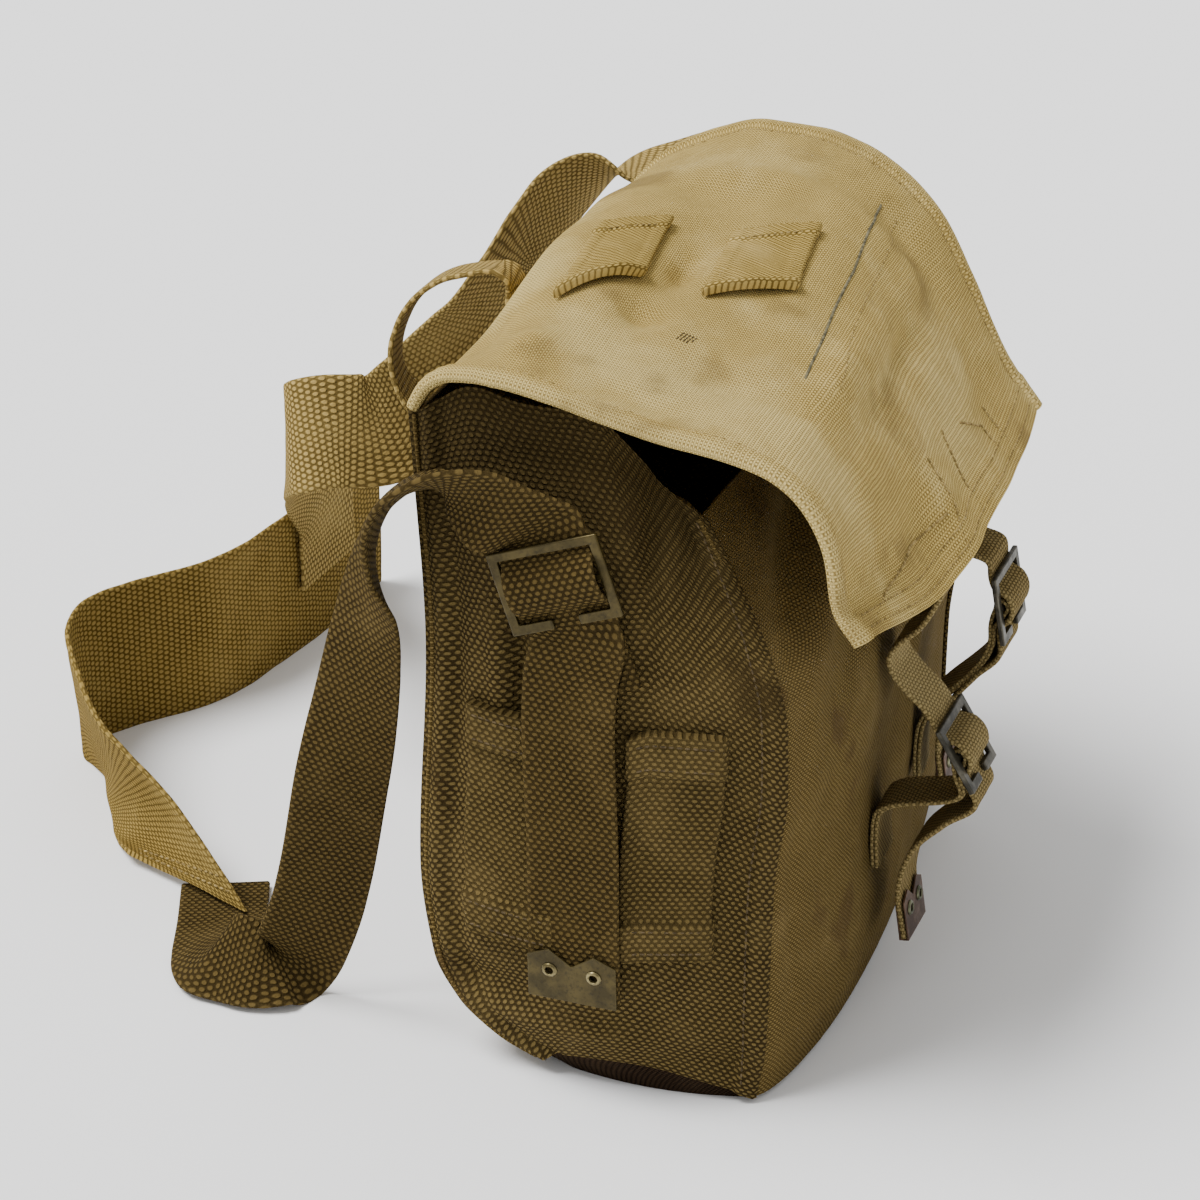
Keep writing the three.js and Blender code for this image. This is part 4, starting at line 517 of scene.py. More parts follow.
# ---------------------------------------------------------------- straps
# The sling, its wide shoulder band, the far strap, the carrying loop, the closure straps and the
# buckle tabs: thick woven webbing with raised selvedges, sewn to the walls or threaded through metal.
# Each station of a strap is its middle (mm) and the direction across it.
STRAPS = {
    "side_tab_near": [
        (-153.0, -6.0, 196.3, 0.04, -0.94, 0.35),
        (-152.9, 6.5, 230.0, 0.04, -0.94, 0.35),
        (-153.2, 7.7, 233.4, 0.04, -0.94, 0.34),
        (-154.4, 9.8, 239.3, 0.04, -0.94, 0.34),
        (-156.7, 11.9, 245.3, 0.04, -0.94, 0.34),
        (-158.0, 12.7, 247.6, 0.04, -0.94, 0.34),
        (-159.3, 12.7, 248.0, 0.04, -0.94, 0.34),
        (-161.8, 12.2, 246.9, 0.04, -0.94, 0.34),
        (-162.2, 11.7, 245.6, 0.04, -0.94, 0.34),
        (-159.3, 9.7, 239.6, 0.04, -0.94, 0.34),
        (-155.0, 7.7, 233.5, 0.04, -0.94, 0.34),
        (-154.7, 6.4, 230.1, 0.04, -0.94, 0.35),
        (-154.8, -6.3, 196.4, 0.04, -0.94, 0.35),
    ],
    "side_tab_far": [
        (152.8, -6.2, 196.6, 0.07, 0.93, -0.35),
        (153.1, 6.4, 230.2, 0.07, 0.93, -0.35),
        (153.2, 7.6, 233.6, 0.07, 0.94, -0.34),
        (154.1, 9.7, 239.6, 0.07, 0.94, -0.34),
        (156.0, 11.8, 245.6, 0.07, 0.94, -0.34),
        (157.2, 12.6, 248.0, 0.07, 0.94, -0.34),
        (159.9, 12.5, 248.3, 0.07, 0.94, -0.34),
        (161.5, 11.6, 246.2, 0.07, 0.94, -0.34),
        (158.9, 9.5, 240.1, 0.07, 0.94, -0.34),
        (155.0, 7.6, 233.8, 0.07, 0.94, -0.34),
        (154.9, 6.3, 230.4, 0.07, 0.93, -0.36),
        (154.6, -6.5, 196.9, 0.07, 0.93, -0.35),
    ],
    "sling_near_strap": [
        (-157.5, 4.8, 51.5, 0.00, -1.00, 0.00),
        (-159.2, 4.7, 119.2, 0.00, -1.00, 0.00),
        (-158.2, 5.7, 203.1, 0.01, -1.00, -0.03),
        (-157.2, 3.6, 222.7, 0.03, -1.00, 0.02),
        (-157.5, 6.4, 230.3, 0.04, -0.94, 0.34),
        (-157.8, 7.6, 233.7, 0.04, -0.94, 0.34),
        (-163.2, 9.6, 239.8, 0.04, -0.94, 0.34),
        (-164.4, 11.7, 245.7, 0.04, -0.94, 0.34),
        (-162.8, 13.8, 251.4, 0.04, -0.94, 0.34),
        (-156.9, 16.1, 257.0, 0.04, -0.94, 0.34),
        (-156.2, 17.3, 260.3, 0.04, -0.94, 0.34),
        (-156.0, 20.0, 267.4, -0.03, -0.81, 0.59),
        (-159.2, 24.0, 269.2, 0.00, -0.75, 0.66),
        (-164.7, 32.2, 273.1, 0.00, -0.64, 0.77),
        (-165.3, 46.2, 282.2, -0.37, -0.53, 0.76),
        (-165.1, 57.6, 284.1, -0.75, -0.15, 0.62),
        (-162.9, 69.3, 280.2, -0.94, 0.34, 0.06),
        (-158.3, 80.3, 270.1, -0.94, 0.25, -0.21),
        (-147.2, 94.4, 243.5, -0.86, -0.26, -0.45),
        (-136.0, 101.0, 212.3, -0.58, -0.78, -0.25),
        (-133.3, 109.7, 162.1, -0.15, -0.97, -0.18),
        (-131.1, 118.6, 120.9, 0.18, -0.96, -0.21),
        (-124.5, 132.3, 60.5, 0.30, -0.93, -0.21),
        (-123.7, 135.5, 48.9, 0.29, -0.92, -0.26),
        (-123.3, 141.6, 31.7, 0.24, -0.90, -0.36),
        (-119.9, 148.3, 18.4, 0.12, -0.86, -0.50),
        (-118.7, 151.8, 13.7, -0.03, -0.70, -0.71),
        (-120.1, 154.3, 12.4, -0.55, -0.60, -0.58),
        (-123.1, 156.3, 13.2, -0.62, -0.62, -0.49),
        (-127.6, 162.6, 15.0, -0.78, -0.11, -0.61),
        (-128.2, 178.0, 16.1, -0.73, 0.02, -0.69),
        (-126.9, 185.4, 15.5, -0.73, 0.30, -0.61),
        (-119.8, 189.6, 12.3, -0.46, 0.72, -0.53),
        (-107.9, 193.4, 8.3, -0.36, 0.88, -0.32),
        (-85.0, 200.4, 3.6, -0.32, 0.94, -0.09),
        (-52.0, 213.0, 1.8, -0.39, 0.92, 0.00),
    ],
    "shoulder_band": [
        (-62.0, 228.0, 6.2, -0.37, -0.93, 0.00),
        (-48.4, 243.8, 10.5, -0.44, -0.86, 0.24),
        (-30.9, 264.2, 21.4, -0.54, -0.67, 0.52),
        (-18.6, 280.9, 27.6, -0.59, -0.45, 0.67),
        (-5.5, 294.5, 31.0, -0.58, -0.26, 0.78),
        (17.3, 316.0, 36.9, -0.32, -0.07, 0.94),
        (27.3, 324.1, 38.1, -0.17, -0.01, 0.98),
        (44.3, 328.3, 38.5, -0.03, 0.00, 1.00),
        (58.1, 323.9, 38.6, 0.00, 0.00, 1.00),
        (69.0, 317.2, 38.6, 0.00, 0.00, 1.00),
        (110.4, 287.3, 38.6, 0.00, 0.00, 1.00),
        (153.5, 275.1, 38.6, 0.00, 0.00, 1.00),
        (176.2, 271.2, 38.6, 0.00, 0.00, 1.00),
        (190.7, 269.1, 38.6, 0.00, 0.00, 1.00),
        (249.9, 262.0, 38.6, 0.00, 0.00, 1.00),
    ],
    "sling_far_strap": [
        (157.7, 4.8, 51.5, 0.00, 1.00, 0.00),
        (159.1, 4.7, 119.2, 0.00, 1.00, 0.00),
        (158.0, 5.6, 203.2, 0.02, 1.00, 0.04),
        (157.7, 3.5, 223.2, 0.07, 1.00, -0.02),
        (157.6, 6.2, 230.7, 0.07, 0.94, -0.34),
        (157.8, 7.5, 234.1, 0.07, 0.94, -0.34),
        (162.8, 9.4, 240.5, 0.07, 0.94, -0.34),
        (163.7, 11.5, 246.5, 0.07, 0.94, -0.34),
        (161.7, 13.7, 252.1, 0.07, 0.94, -0.34),
        (155.6, 16.1, 257.3, 0.07, 0.94, -0.34),
        (154.7, 17.3, 260.6, 0.07, 0.94, -0.34),
        (154.1, 20.0, 267.7, 0.02, 0.86, -0.51),
        (166.3, 31.3, 277.2, -0.54, 0.67, -0.51),
        (176.3, 48.6, 283.2, -0.77, 0.45, -0.45),
        (182.7, 68.0, 284.7, -0.94, 0.16, -0.31),
        (184.2, 86.7, 281.1, -0.99, -0.09, -0.05),
        (180.1, 103.6, 277.5, -0.91, -0.32, 0.27),
        (170.4, 117.3, 273.1, -0.54, -0.29, 0.79),
        (146.1, 129.8, 264.1, -0.36, 0.00, 0.93),
        (129.9, 134.2, 257.2, -0.55, 0.01, 0.83),
        (124.9, 137.0, 252.4, -0.79, 0.10, 0.60),
        (121.8, 143.8, 240.4, -0.91, 0.28, 0.29),
        (119.4, 159.3, 215.2, -0.81, 0.35, 0.47),
        (111.1, 167.6, 199.2, -0.60, 0.46, 0.66),
        (98.6, 176.1, 185.4, -0.35, 0.52, 0.78),
        (83.4, 185.6, 175.7, 0.08, 0.45, 0.89),
        (72.0, 196.9, 177.2, 0.42, 0.11, 0.90),
        (65.2, 208.7, 178.0, 0.33, 0.27, 0.90),
        (63.7, 219.6, 174.8, 0.39, 0.31, 0.86),
        (66.3, 224.7, 171.8, 0.44, 0.27, 0.86),
        (79.2, 233.2, 162.7, 0.45, 0.22, 0.86),
        (89.1, 237.4, 156.5, 0.47, 0.15, 0.87),
        (131.8, 248.2, 130.6, 0.60, -0.15, 0.79),
        (160.1, 257.5, 109.1, 0.67, -0.25, 0.70),
        (171.0, 260.7, 99.4, 0.69, -0.27, 0.67),
        (185.7, 264.0, 84.1, 0.80, -0.20, 0.56),
        (190.2, 265.0, 76.5, 0.91, -0.14, 0.38),
        (193.2, 266.0, 56.2, 0.99, -0.12, 0.06),
        (193.8, 266.0, 34.5, 0.99, -0.12, 0.02),
    ],
    "carry_loop": [
        (-12.0, 81.0, 270.0, 1.00, 0.00, 0.02),
        (-12.1, 83.1, 287.4, 1.00, 0.01, -0.08),
        (-11.0, 84.0, 294.3, 0.98, 0.02, -0.22),
        (-9.3, 84.9, 300.4, 0.98, 0.06, -0.19),
        (-9.1, 86.7, 304.5, 0.98, 0.21, -0.03),
        (-10.0, 89.0, 307.3, 0.93, 0.35, -0.08),
        (-10.8, 92.3, 308.9, 0.95, 0.18, -0.25),
        (-11.4, 98.0, 308.3, 0.97, 0.05, -0.22),
        (-11.9, 104.1, 306.7, 0.98, 0.05, -0.21),
        (-13.2, 113.2, 303.9, 0.98, 0.06, -0.19),
        (-14.3, 120.1, 299.7, 0.99, 0.07, -0.15),
        (-15.9, 126.3, 294.2, 0.97, 0.13, -0.18),
        (-18.0, 131.3, 286.8, 0.97, 0.16, -0.17),
        (-20.4, 134.3, 278.5, 0.94, 0.21, -0.27),
        (-21.9, 135.1, 274.4, 0.94, 0.20, -0.26),
        (-24.1, 134.9, 264.1, 0.96, 0.22, -0.17),
        (-24.6, 133.2, 258.2, 0.96, 0.23, -0.13),
        (-24.5, 129.6, 251.6, 0.98, 0.21, -0.08),
        (-23.9, 124.6, 245.6, 0.98, 0.20, -0.03),
        (-22.4, 117.4, 240.9, 0.97, 0.23, 0.00),
        (-18.2, 102.0, 233.3, 0.96, 0.26, 0.07),
        (-15.9, 94.9, 230.0, 0.96, 0.23, 0.12),
        (-14.1, 89.1, 225.6, 0.98, 0.16, 0.15),
        (-12.7, 84.2, 220.3, 0.99, 0.09, 0.13),
        (-11.8, 81.1, 214.3, 1.00, 0.02, 0.06),
        (-12.0, 79.8, 200.1, 1.00, 0.00, -0.02),
    ],
    "closure_tab_near": [
        (-20.0, -86.1, 62.0, 1.00, 0.02, 0.00),
        (-20.0, -85.4, 77.0, 1.00, 0.02, 0.00),
        (-20.0, -86.2, 87.5, 1.00, 0.01, 0.01),
        (-20.0, -123.6, 108.3, 1.00, 0.00, 0.00),
        (-20.0, -122.1, 111.6, 1.00, 0.00, 0.00),
        (-20.0, -120.7, 116.8, 1.00, 0.00, 0.00),
        (-20.0, -120.1, 122.6, 1.00, 0.00, 0.00),
        (-20.0, -119.7, 124.0, 1.00, 0.00, 0.00),
        (-20.0, -121.1, 126.4, 1.00, 0.00, 0.00),
        (-20.0, -122.5, 126.8, 1.00, 0.00, 0.00),
        (-20.0, -124.9, 125.4, 1.00, 0.00, 0.00),
        (-20.0, -124.9, 119.3, 1.00, 0.00, 0.00),
        (-20.0, -123.7, 112.5, 1.00, 0.00, 0.00),
        (-20.0, -125.2, 109.2, 1.00, 0.00, 0.00),
        (-20.0, -88.0, 87.5, 1.00, 0.01, 0.01),
        (-20.0, -87.2, 77.0, 1.00, 0.02, 0.00),
        (-20.0, -87.9, 62.0, 1.00, 0.02, 0.00),
    ],
    "closure_strap_near": [
        (-20.0, -101.9, 29.5, 1.00, 0.00, 0.00),
        (-20.0, -98.3, 54.5, 1.00, 0.00, 0.00),
        (-20.0, -103.8, 73.5, 1.00, 0.00, 0.00),
        (-20.0, -117.4, 89.5, 1.00, 0.00, 0.00),
        (-20.0, -131.1, 103.5, 1.00, 0.00, 0.00),
        (-20.0, -127.5, 110.7, 1.00, 0.00, 0.00),
        (-20.0, -126.1, 114.0, 1.00, 0.00, 0.00),
        (-20.0, -128.3, 121.4, 1.00, 0.00, 0.00),
        (-20.0, -126.8, 126.5, 1.00, 0.00, 0.00),
        (-20.0, -122.9, 130.3, 1.00, 0.00, 0.00),
        (-20.0, -115.4, 131.8, 1.00, 0.00, 0.00),
        (-20.0, -113.1, 134.7, 1.00, 0.00, 0.00),
        (-20.0, -109.2, 141.2, 1.00, 0.00, 0.00),
        (-20.0, -96.8, 153.9, 1.00, 0.00, 0.00),
        (-20.0, -92.0, 160.1, 1.00, 0.00, 0.00),
        (-20.0, -90.9, 166.2, 1.00, 0.00, 0.00),
        (-20.0, -93.7, 171.7, 1.00, 0.00, 0.00),
        (-20.0, -103.6, 182.5, 1.00, 0.00, 0.00),
        (-20.0, -109.2, 192.3, 1.00, 0.00, 0.00),
        (-20.0, -112.9, 201.4, 1.00, 0.00, -0.01),
        (-19.8, -114.3, 210.1, 1.00, 0.00, -0.02),
        (-19.8, -113.2, 214.4, 1.00, 0.00, 0.02),
        (-19.9, -110.8, 217.9, 1.00, -0.01, 0.04),
        (-20.0, -108.6, 221.2, 1.00, -0.01, 0.04),
        (-20.2, -104.7, 226.9, 1.00, 0.00, 0.04),
        (-20.6, -96.2, 240.3, 1.00, 0.02, 0.02),
        (-20.9, -90.4, 252.7, 1.00, 0.04, 0.00),
        (-21.1, -85.4, 265.2, 1.00, 0.06, -0.01),
    ],
    "closure_tab_far": [
        (58.0, -81.1, 62.0, 1.00, 0.10, 0.00),
        (58.0, -80.8, 77.0, 1.00, 0.10, 0.00),
        (58.0, -81.7, 87.5, 1.00, 0.08, 0.04),
        (58.0, -113.8, 141.0, 1.00, 0.00, 0.00),
        (58.0, -113.6, 144.6, 1.00, 0.00, 0.00),
        (58.0, -114.2, 150.0, 1.00, 0.00, 0.00),
        (58.0, -115.7, 155.5, 1.00, 0.00, 0.00),
        (58.0, -115.8, 157.0, 1.00, 0.00, 0.00),
        (58.0, -118.0, 158.7, 1.00, 0.00, 0.00),
        (58.0, -119.4, 158.6, 1.00, 0.00, 0.00),
        (58.0, -121.2, 156.5, 1.00, 0.00, 0.00),
        (58.0, -119.0, 150.8, 1.00, 0.00, 0.00),
        (58.0, -115.4, 144.9, 1.00, 0.00, 0.00),
        (58.0, -115.6, 141.3, 1.00, 0.00, 0.00),
        (58.0, -83.5, 87.5, 1.00, 0.08, 0.04),
        (58.0, -82.6, 77.0, 1.00, 0.10, 0.00),
        (58.0, -82.9, 62.0, 1.00, 0.10, 0.00),
    ],
    "closure_strap_far": [
        (58.0, -95.6, 59.8, 1.00, 0.00, 0.00),
        (58.0, -92.7, 84.8, 1.00, 0.00, 0.00),
        (58.0, -97.1, 103.8, 1.00, 0.00, 0.00),
        (58.0, -108.1, 119.8, 1.00, 0.00, 0.00),
        (58.0, -119.1, 133.8, 1.00, 0.00, 0.00),
        (58.0, -118.3, 141.8, 1.00, 0.00, 0.00),
        (58.0, -118.2, 145.4, 1.00, 0.00, 0.00),
        (58.0, -122.8, 151.5, 1.00, 0.00, 0.00),
        (58.0, -123.3, 156.9, 1.00, 0.00, 0.00),
        (58.0, -121.0, 161.7, 1.00, 0.00, 0.00),
        (58.0, -114.6, 165.9, 1.00, 0.00, 0.00),
        (58.0, -113.4, 169.3, 1.00, 0.00, 0.00),
        (58.0, -112.1, 176.8, 1.00, 0.00, 0.00),
        (58.0, -102.7, 180.0, 1.00, 0.00, 0.00),
        (58.0, -92.5, 183.1, 1.00, 0.00, 0.00),
        (58.0, -84.8, 186.3, 1.00, 0.00, 0.00),
        (58.0, -82.9, 189.4, 1.00, 0.00, 0.00),
        (58.0, -86.3, 192.2, 1.00, 0.00, 0.00),
        (58.0, -98.0, 197.7, 1.00, 0.00, 0.00),
        (58.1, -104.7, 202.9, 1.00, 0.02, -0.01),
        (58.2, -107.4, 205.4, 1.00, -0.01, 0.01),
        (58.0, -109.2, 207.4, 1.00, -0.06, 0.07),
        (57.6, -110.2, 208.7, 0.92, -0.18, 0.34),
        (57.1, -110.4, 210.0, 0.99, 0.04, 0.12),
        (57.1, -108.4, 213.1, 1.00, 0.05, -0.07),
        (57.2, -106.8, 215.1, 0.99, 0.09, -0.09),
        (57.2, -104.4, 218.3, 0.99, 0.11, -0.09),
        (57.2, -100.1, 223.7, 0.99, 0.12, -0.09),
        (57.1, -90.9, 236.2, 0.99, 0.12, -0.07),
        (57.1, -84.5, 248.7, 0.99, 0.12, -0.05),
        (57.1, -79.1, 261.4, 0.99, 0.11, -0.05),
    ],
}


WEB, TAB_THICK, SELVEDGE, CROWN = 2.2, 1.5, 0.25, 0.08
SLING_WIDE, BAND_WIDE, FAR_WIDE, NARROW_WIDE, FOOT_TAB_WIDE, SIDE_TAB_WIDE = 38, 76, 50, 25, 23, 34
# the stations are filled in to about this distance, and finer on the folded straps (mm)
STRAP_STEP, FOLD_STEP = 2.6, 1.6


def resample(rows, step):
    """A smooth path (Catmull-Rom) through stations, with a station about every step mm."""
    rows = np.asarray(rows, float)
    padded = np.concatenate([[2 * rows[0] - rows[1]], rows, [2 * rows[-1] - rows[-2]]])
    out = []
    for i in range(1, len(padded) - 2):
        a, b, c, d = padded[i - 1:i + 3]
        length = np.linalg.norm(c[:3] - b[:3])
        ta = max(np.linalg.norm(b[:3] - a[:3]), 1e-6)
        tc = max(np.linalg.norm(d[:3] - c[:3]), 1e-6)
        m1 = ((c - b) / length - (c - a) / (ta + length) + (b - a) / ta) * length
        m2 = ((d - c) / tc - (d - b) / (tc + length) + (c - b) / length) * length
        count = max(2, int(round(length / step)))
        for t in np.arange(count) / count:
            out.append((2 * t**3 - 3 * t**2 + 1) * b + (t**3 - 2 * t**2 + t) * m1
                       + (3 * t**2 - 2 * t**3) * c + (t**3 - t**2) * m2)
    out.append(rows[-1])
    out = np.array(out)
    out[:, 3:] /= np.linalg.norm(out[:, 3:], axis=1, keepdims=True)
    return out


def strap_grid(rows, width, cols, step, seed=0, rough=0.0):
    """A strap's middle surface: across each station from edge to edge, a little uneven when rough.
    Returns the points, the way its face looks, and its own map in millimetres."""
    path = resample(rows, step)
    middle, across = path[:, :3], path[:, 3:6]
    along = np.gradient(middle, axis=0)
    face = np.cross(across, along)
    face /= np.linalg.norm(face, axis=1, keepdims=True)
    share = np.linspace(-.5, .5, cols)
    p = middle[:, None] + across[:, None] * (share * width)[None, :, None]
    reach = np.concatenate([[0], np.linalg.norm(np.diff(middle, axis=0), axis=1).cumsum()])
    if rough:
        lift = rough * waves(p, 45, 7, seed) + rough * .4 * waves(p, 17, 7, seed + 1)
        p = p + face[:, None] * lift[..., None]
    uv = np.stack(np.broadcast_arrays(((share + .5) * width)[None], reach[:, None]), -1)
    return p, face, uv


def strap(name, rows, width, thick, material, replaces, rough, seed, cols=14,
          step=STRAP_STEP):
    """A strap as a shell on its middle surface, crowned a little, with thicker selvedges."""
    p, face, uv = strap_grid(rows, width, cols, step, seed, rough)
    share = np.abs(np.linspace(-1, 1, cols))
    half = thick / 2 + SELVEDGE * np.exp(-((share - .93) / .07) ** 2) + CROWN * (1 - share)
    half = np.broadcast_to(half[None], p.shape[:2])
    shell(name, p, face[0], half, -half, uv, material, replaces=replaces)


dark_web = woven("seed webbing, dark olive", (.024, .0155, .005), (.104, .071, .023), (.150, .104, .036),
                 3.45, 4.5, 1.0, fade=(.5, .72), edge=(SLING_WIDE, 1.6))
sling_web = woven("seed webbing of the sling", (.024, .0155, .005), (.108, .073, .023), (.170, .118, .042),
                  3.45, 4.5, 1.0, fade=(.5, .75), edge=(SLING_WIDE, 1.6))
# its bright tone is painted light: the band drawn brighter than the sling's webbing, for the sun on it
sunlit_band_web = woven("sunlit_tight webbing of the band", (.088, .055, .011), (.325, .220, .058), (.41, .29, .09),
                 2.75, 6.0, 0.7, fade=(.5, .72), edge=(BAND_WIDE, 1.5))
# its bright tone is painted light: drawn far brighter than the near sling's webbing, for the sun on the far
# strap and the carrying loop
sunlit_far_web = woven("sunlit_tight webbing of the far strap", (.120, .080, .022), (.46, .325, .105),
                (.48, .35, .12), 2.75, 6.0, 0.7, fade=(.5, .72), edge=(FAR_WIDE, 1.4))
narrow_web = woven("webbing of the closures", (.075, .053, .018), (.26, .19, .075), (.37, .29, .13),
                   2.5, 3.2, 0.35, fade=(.45, .66), edge=(NARROW_WIDE, 1.4), stain=(.07, .04, .02))
strap("near_sling", STRAPS["sling_near_strap"], SLING_WIDE, WEB, sling_web,
      ("sling_near_strap",), rough=.35, seed=31)
strap("band", STRAPS["shoulder_band"], BAND_WIDE, WEB, sunlit_band_web, ("shoulder_band",),
      rough=.5, seed=33, cols=26)
strap("far_sling", STRAPS["sling_far_strap"], FAR_WIDE, WEB, sunlit_far_web,
      ("sling_far_strap",), rough=.4, seed=35, cols=18)
strap("grip", STRAPS["carry_loop"], NARROW_WIDE, WEB, sunlit_far_web, ("carry_loop",),
      rough=.2, seed=37)
for word in ("near", "far"):
    strap("closure_" + word, STRAPS["closure_strap_" + word], NARROW_WIDE, WEB, narrow_web,
          ("closure_strap_" + word,), rough=.15, seed=39,
          step=FOLD_STEP)
    strap("foot_tab_" + word, STRAPS["closure_tab_" + word], FOOT_TAB_WIDE, TAB_THICK, narrow_web,
          ("closure_tab_" + word,), rough=.1, seed=41,
          step=FOLD_STEP)
    strap("buckle_tab_" + word, STRAPS["side_tab_" + word], SIDE_TAB_WIDE, TAB_THICK, dark_web,
          ("side_tab_" + word,), rough=.1, seed=43,
          step=FOLD_STEP)


# ---------------------------------------------------------------- gusset loops and keepers
# Flat webbing loops sewn down by their doubled ends: two on each gusset, and two keepers on the lid
# for a rolled blanket, their near edges raised into a roll.
LOOP_WIDE, LOOP_TALL, LOOP_END, LOOP_THICK, LOOP_RISE, SEAT = 38, 112, 20, 2.2, 2.4, 1.0
# corners of the loops: share across the gusset and of its height, low front, low back, high front,
# high back
BACK_LOOP = ((.573, .238), (.830, .240), (.587, .593), (.843, .598))
FRONT_LOOP = ((.150, .263), (.373, .240), (.153, .630), (.383, .590))
LOOPS = {"near_back": (-1, BACK_LOOP), "near_front": (-1, FRONT_LOOP),
         "far_back": (1, BACK_LOOP), "far_front": (1, FRONT_LOOP)}


def blend_corners(corners, across, along):
    """Shares on a wall from shares across and along a piece: a blend of its four corners."""
    a, b, c, d = (np.array(corner) for corner in corners)
    across, along = np.asarray(across, float)[..., None], np.asarray(along, float)[..., None]
    place = (a * (1 - across) + b * across) * (1 - along) + (c * (1 - across) + d * across) * along
    return place[..., 0], place[..., 1]


loop_web = woven("seed webbing of the loops", (.030, .0195, .006), (.130, .091, .030), (.185, .130, .048),
                 3.45, 4.5, 1.0, fade=(.46, .70), edge=(LOOP_WIDE, 1.8))
for word, (end, corners) in LOOPS.items():
    across, along = grid(np.linspace(0, 1, 20), np.linspace(0, 1, 80))
    us, vs = blend_corners(corners, across, along)
    p = gusset_at(end, us, vs)
    down = along * LOOP_TALL
    doubled = np.maximum(np.clip((LOOP_END - down) / 1.0, 0, 1),
                         np.clip((down - LOOP_TALL + LOOP_END) / 1.2, 0, 1))
    belly = np.sin(np.pi * np.clip(down / LOOP_TALL, 0, 1)) * .8
    share = np.abs(np.linspace(-1, 1, 20))[None]
    high = SEAT + LOOP_THICK + LOOP_RISE * doubled + belly + .3 * np.exp(-((share - .92) / .08) ** 2)
    high = high + .25 * waves(p, 30, 6, 51)
    low = SEAT * .3 + belly * .3
    uv = np.stack([across * LOOP_WIDE, down], -1)
    shell("loop_" + word, p, (end, 0, 0), high, low, uv, loop_web,
          replaces=("gusset_loop_" + word,))
KEEPER_LONG, KEEPER_WIDE, KEEPER_SEAT, KEEPER_THICK = 62.0, 34.0, 1.0, 1.3
# the near edge's roll: height, middle and half width; the far end's fold: height and length; the rims:
# height and width; the arch: height, and how fast it dies away (mm)
ROLL, FOLD, RIMS, ARCH = (3.6, 2.0, 2.8), (1.3, 10), (.7, 5.5), (1.6, 26)
# corners as shares along and down the lid: near back, near front, far back, far front
KEEPERS = {"back": ((.262, .203), (.388, .307), (.503, .175), (.580, .283)),
           "front": ((.390, .453), (.487, .607), (.595, .425), (.668, .583))}
keeper_cloth = woven("folded canvas of the keepers", (.14, .09, .02), (.50, .355, .105), (.62, .46, .17),
                     2.4, 2.4, 0.4, fade=(.42, .64), edge=(38, 3))
for word in KEEPERS:
    across, along = grid(np.linspace(0, 1, 34), np.linspace(0, 1, 60))
    us, vs = blend_corners(KEEPERS[word], across, along)
    p = lid_surface(us, vs)
    along_mm = np.linspace(0, KEEPER_LONG, 60)[:, None] + 0 * us
    across_mm = np.linspace(0, KEEPER_WIDE, 34)[None] + 0 * us
    near_roll = ROLL[0] * np.exp(-((along_mm - ROLL[1]) / ROLL[2]) ** 2)
    far_fold = FOLD[0] * np.clip((along_mm - KEEPER_LONG + FOLD[1]) / 1.5, 0, 1)
    rim = RIMS[0] * np.clip((RIMS[1] - np.minimum(across_mm, KEEPER_WIDE - across_mm)) / 1.2, 0, 1)
    arch = ARCH[0] * np.sin(np.pi * across_mm / KEEPER_WIDE) * np.exp(-along_mm / ARCH[1])
    high = LID_THICK + KEEPER_SEAT + KEEPER_THICK + near_roll + far_fold + rim * (near_roll < 2) + arch
    high = high + .25 * waves(p, 18, 6, 55)
    low = LID_THICK + .2 + arch * .9 + near_roll * .45
    uv = np.stack([across_mm, along_mm], -1)
    shell("keeper_" + word, p, (0, 0, 1), high, low, uv, keeper_cloth,
          replaces=("lid_keeper_" + word,))

# ---------------------------------------------------------------- weather flaps
# Two small corners of the dark seed webbing, one at each end. They start at the gusset's upper edge
# and fold in over the mouth, under the lid.
FLAP_REACH = 34.0
for end, word in ((-1, "near"), (1, "far")):
    a, b = grid(np.linspace(0, 1, 16), np.linspace(0, 1, 14))
    p = gusset_at(end, .5 + .36 * a, .985 + 0 * a)
    inward = FLAP_REACH * b * (1 - .55 * np.abs(a - .6))
    p[..., 0] -= end * (CANVAS + .6 + inward)
    p[..., 2] -= inward * .35
    p[..., 2] += .8 * waves(p, 26, 5, 61)
    shell("flap_" + word, p, (0, 0, 1), .3, -1.5, measured_uv(p), dark_web,
          replaces=("weather_flap_" + word,))

# ---------------------------------------------------------------- metal fittings
# Cast buckles and folded end plates, worn bright on their edges: the side ones brass, the front ones
# dark, the front plates brown. Each is the model's own piece with its edges rounded.


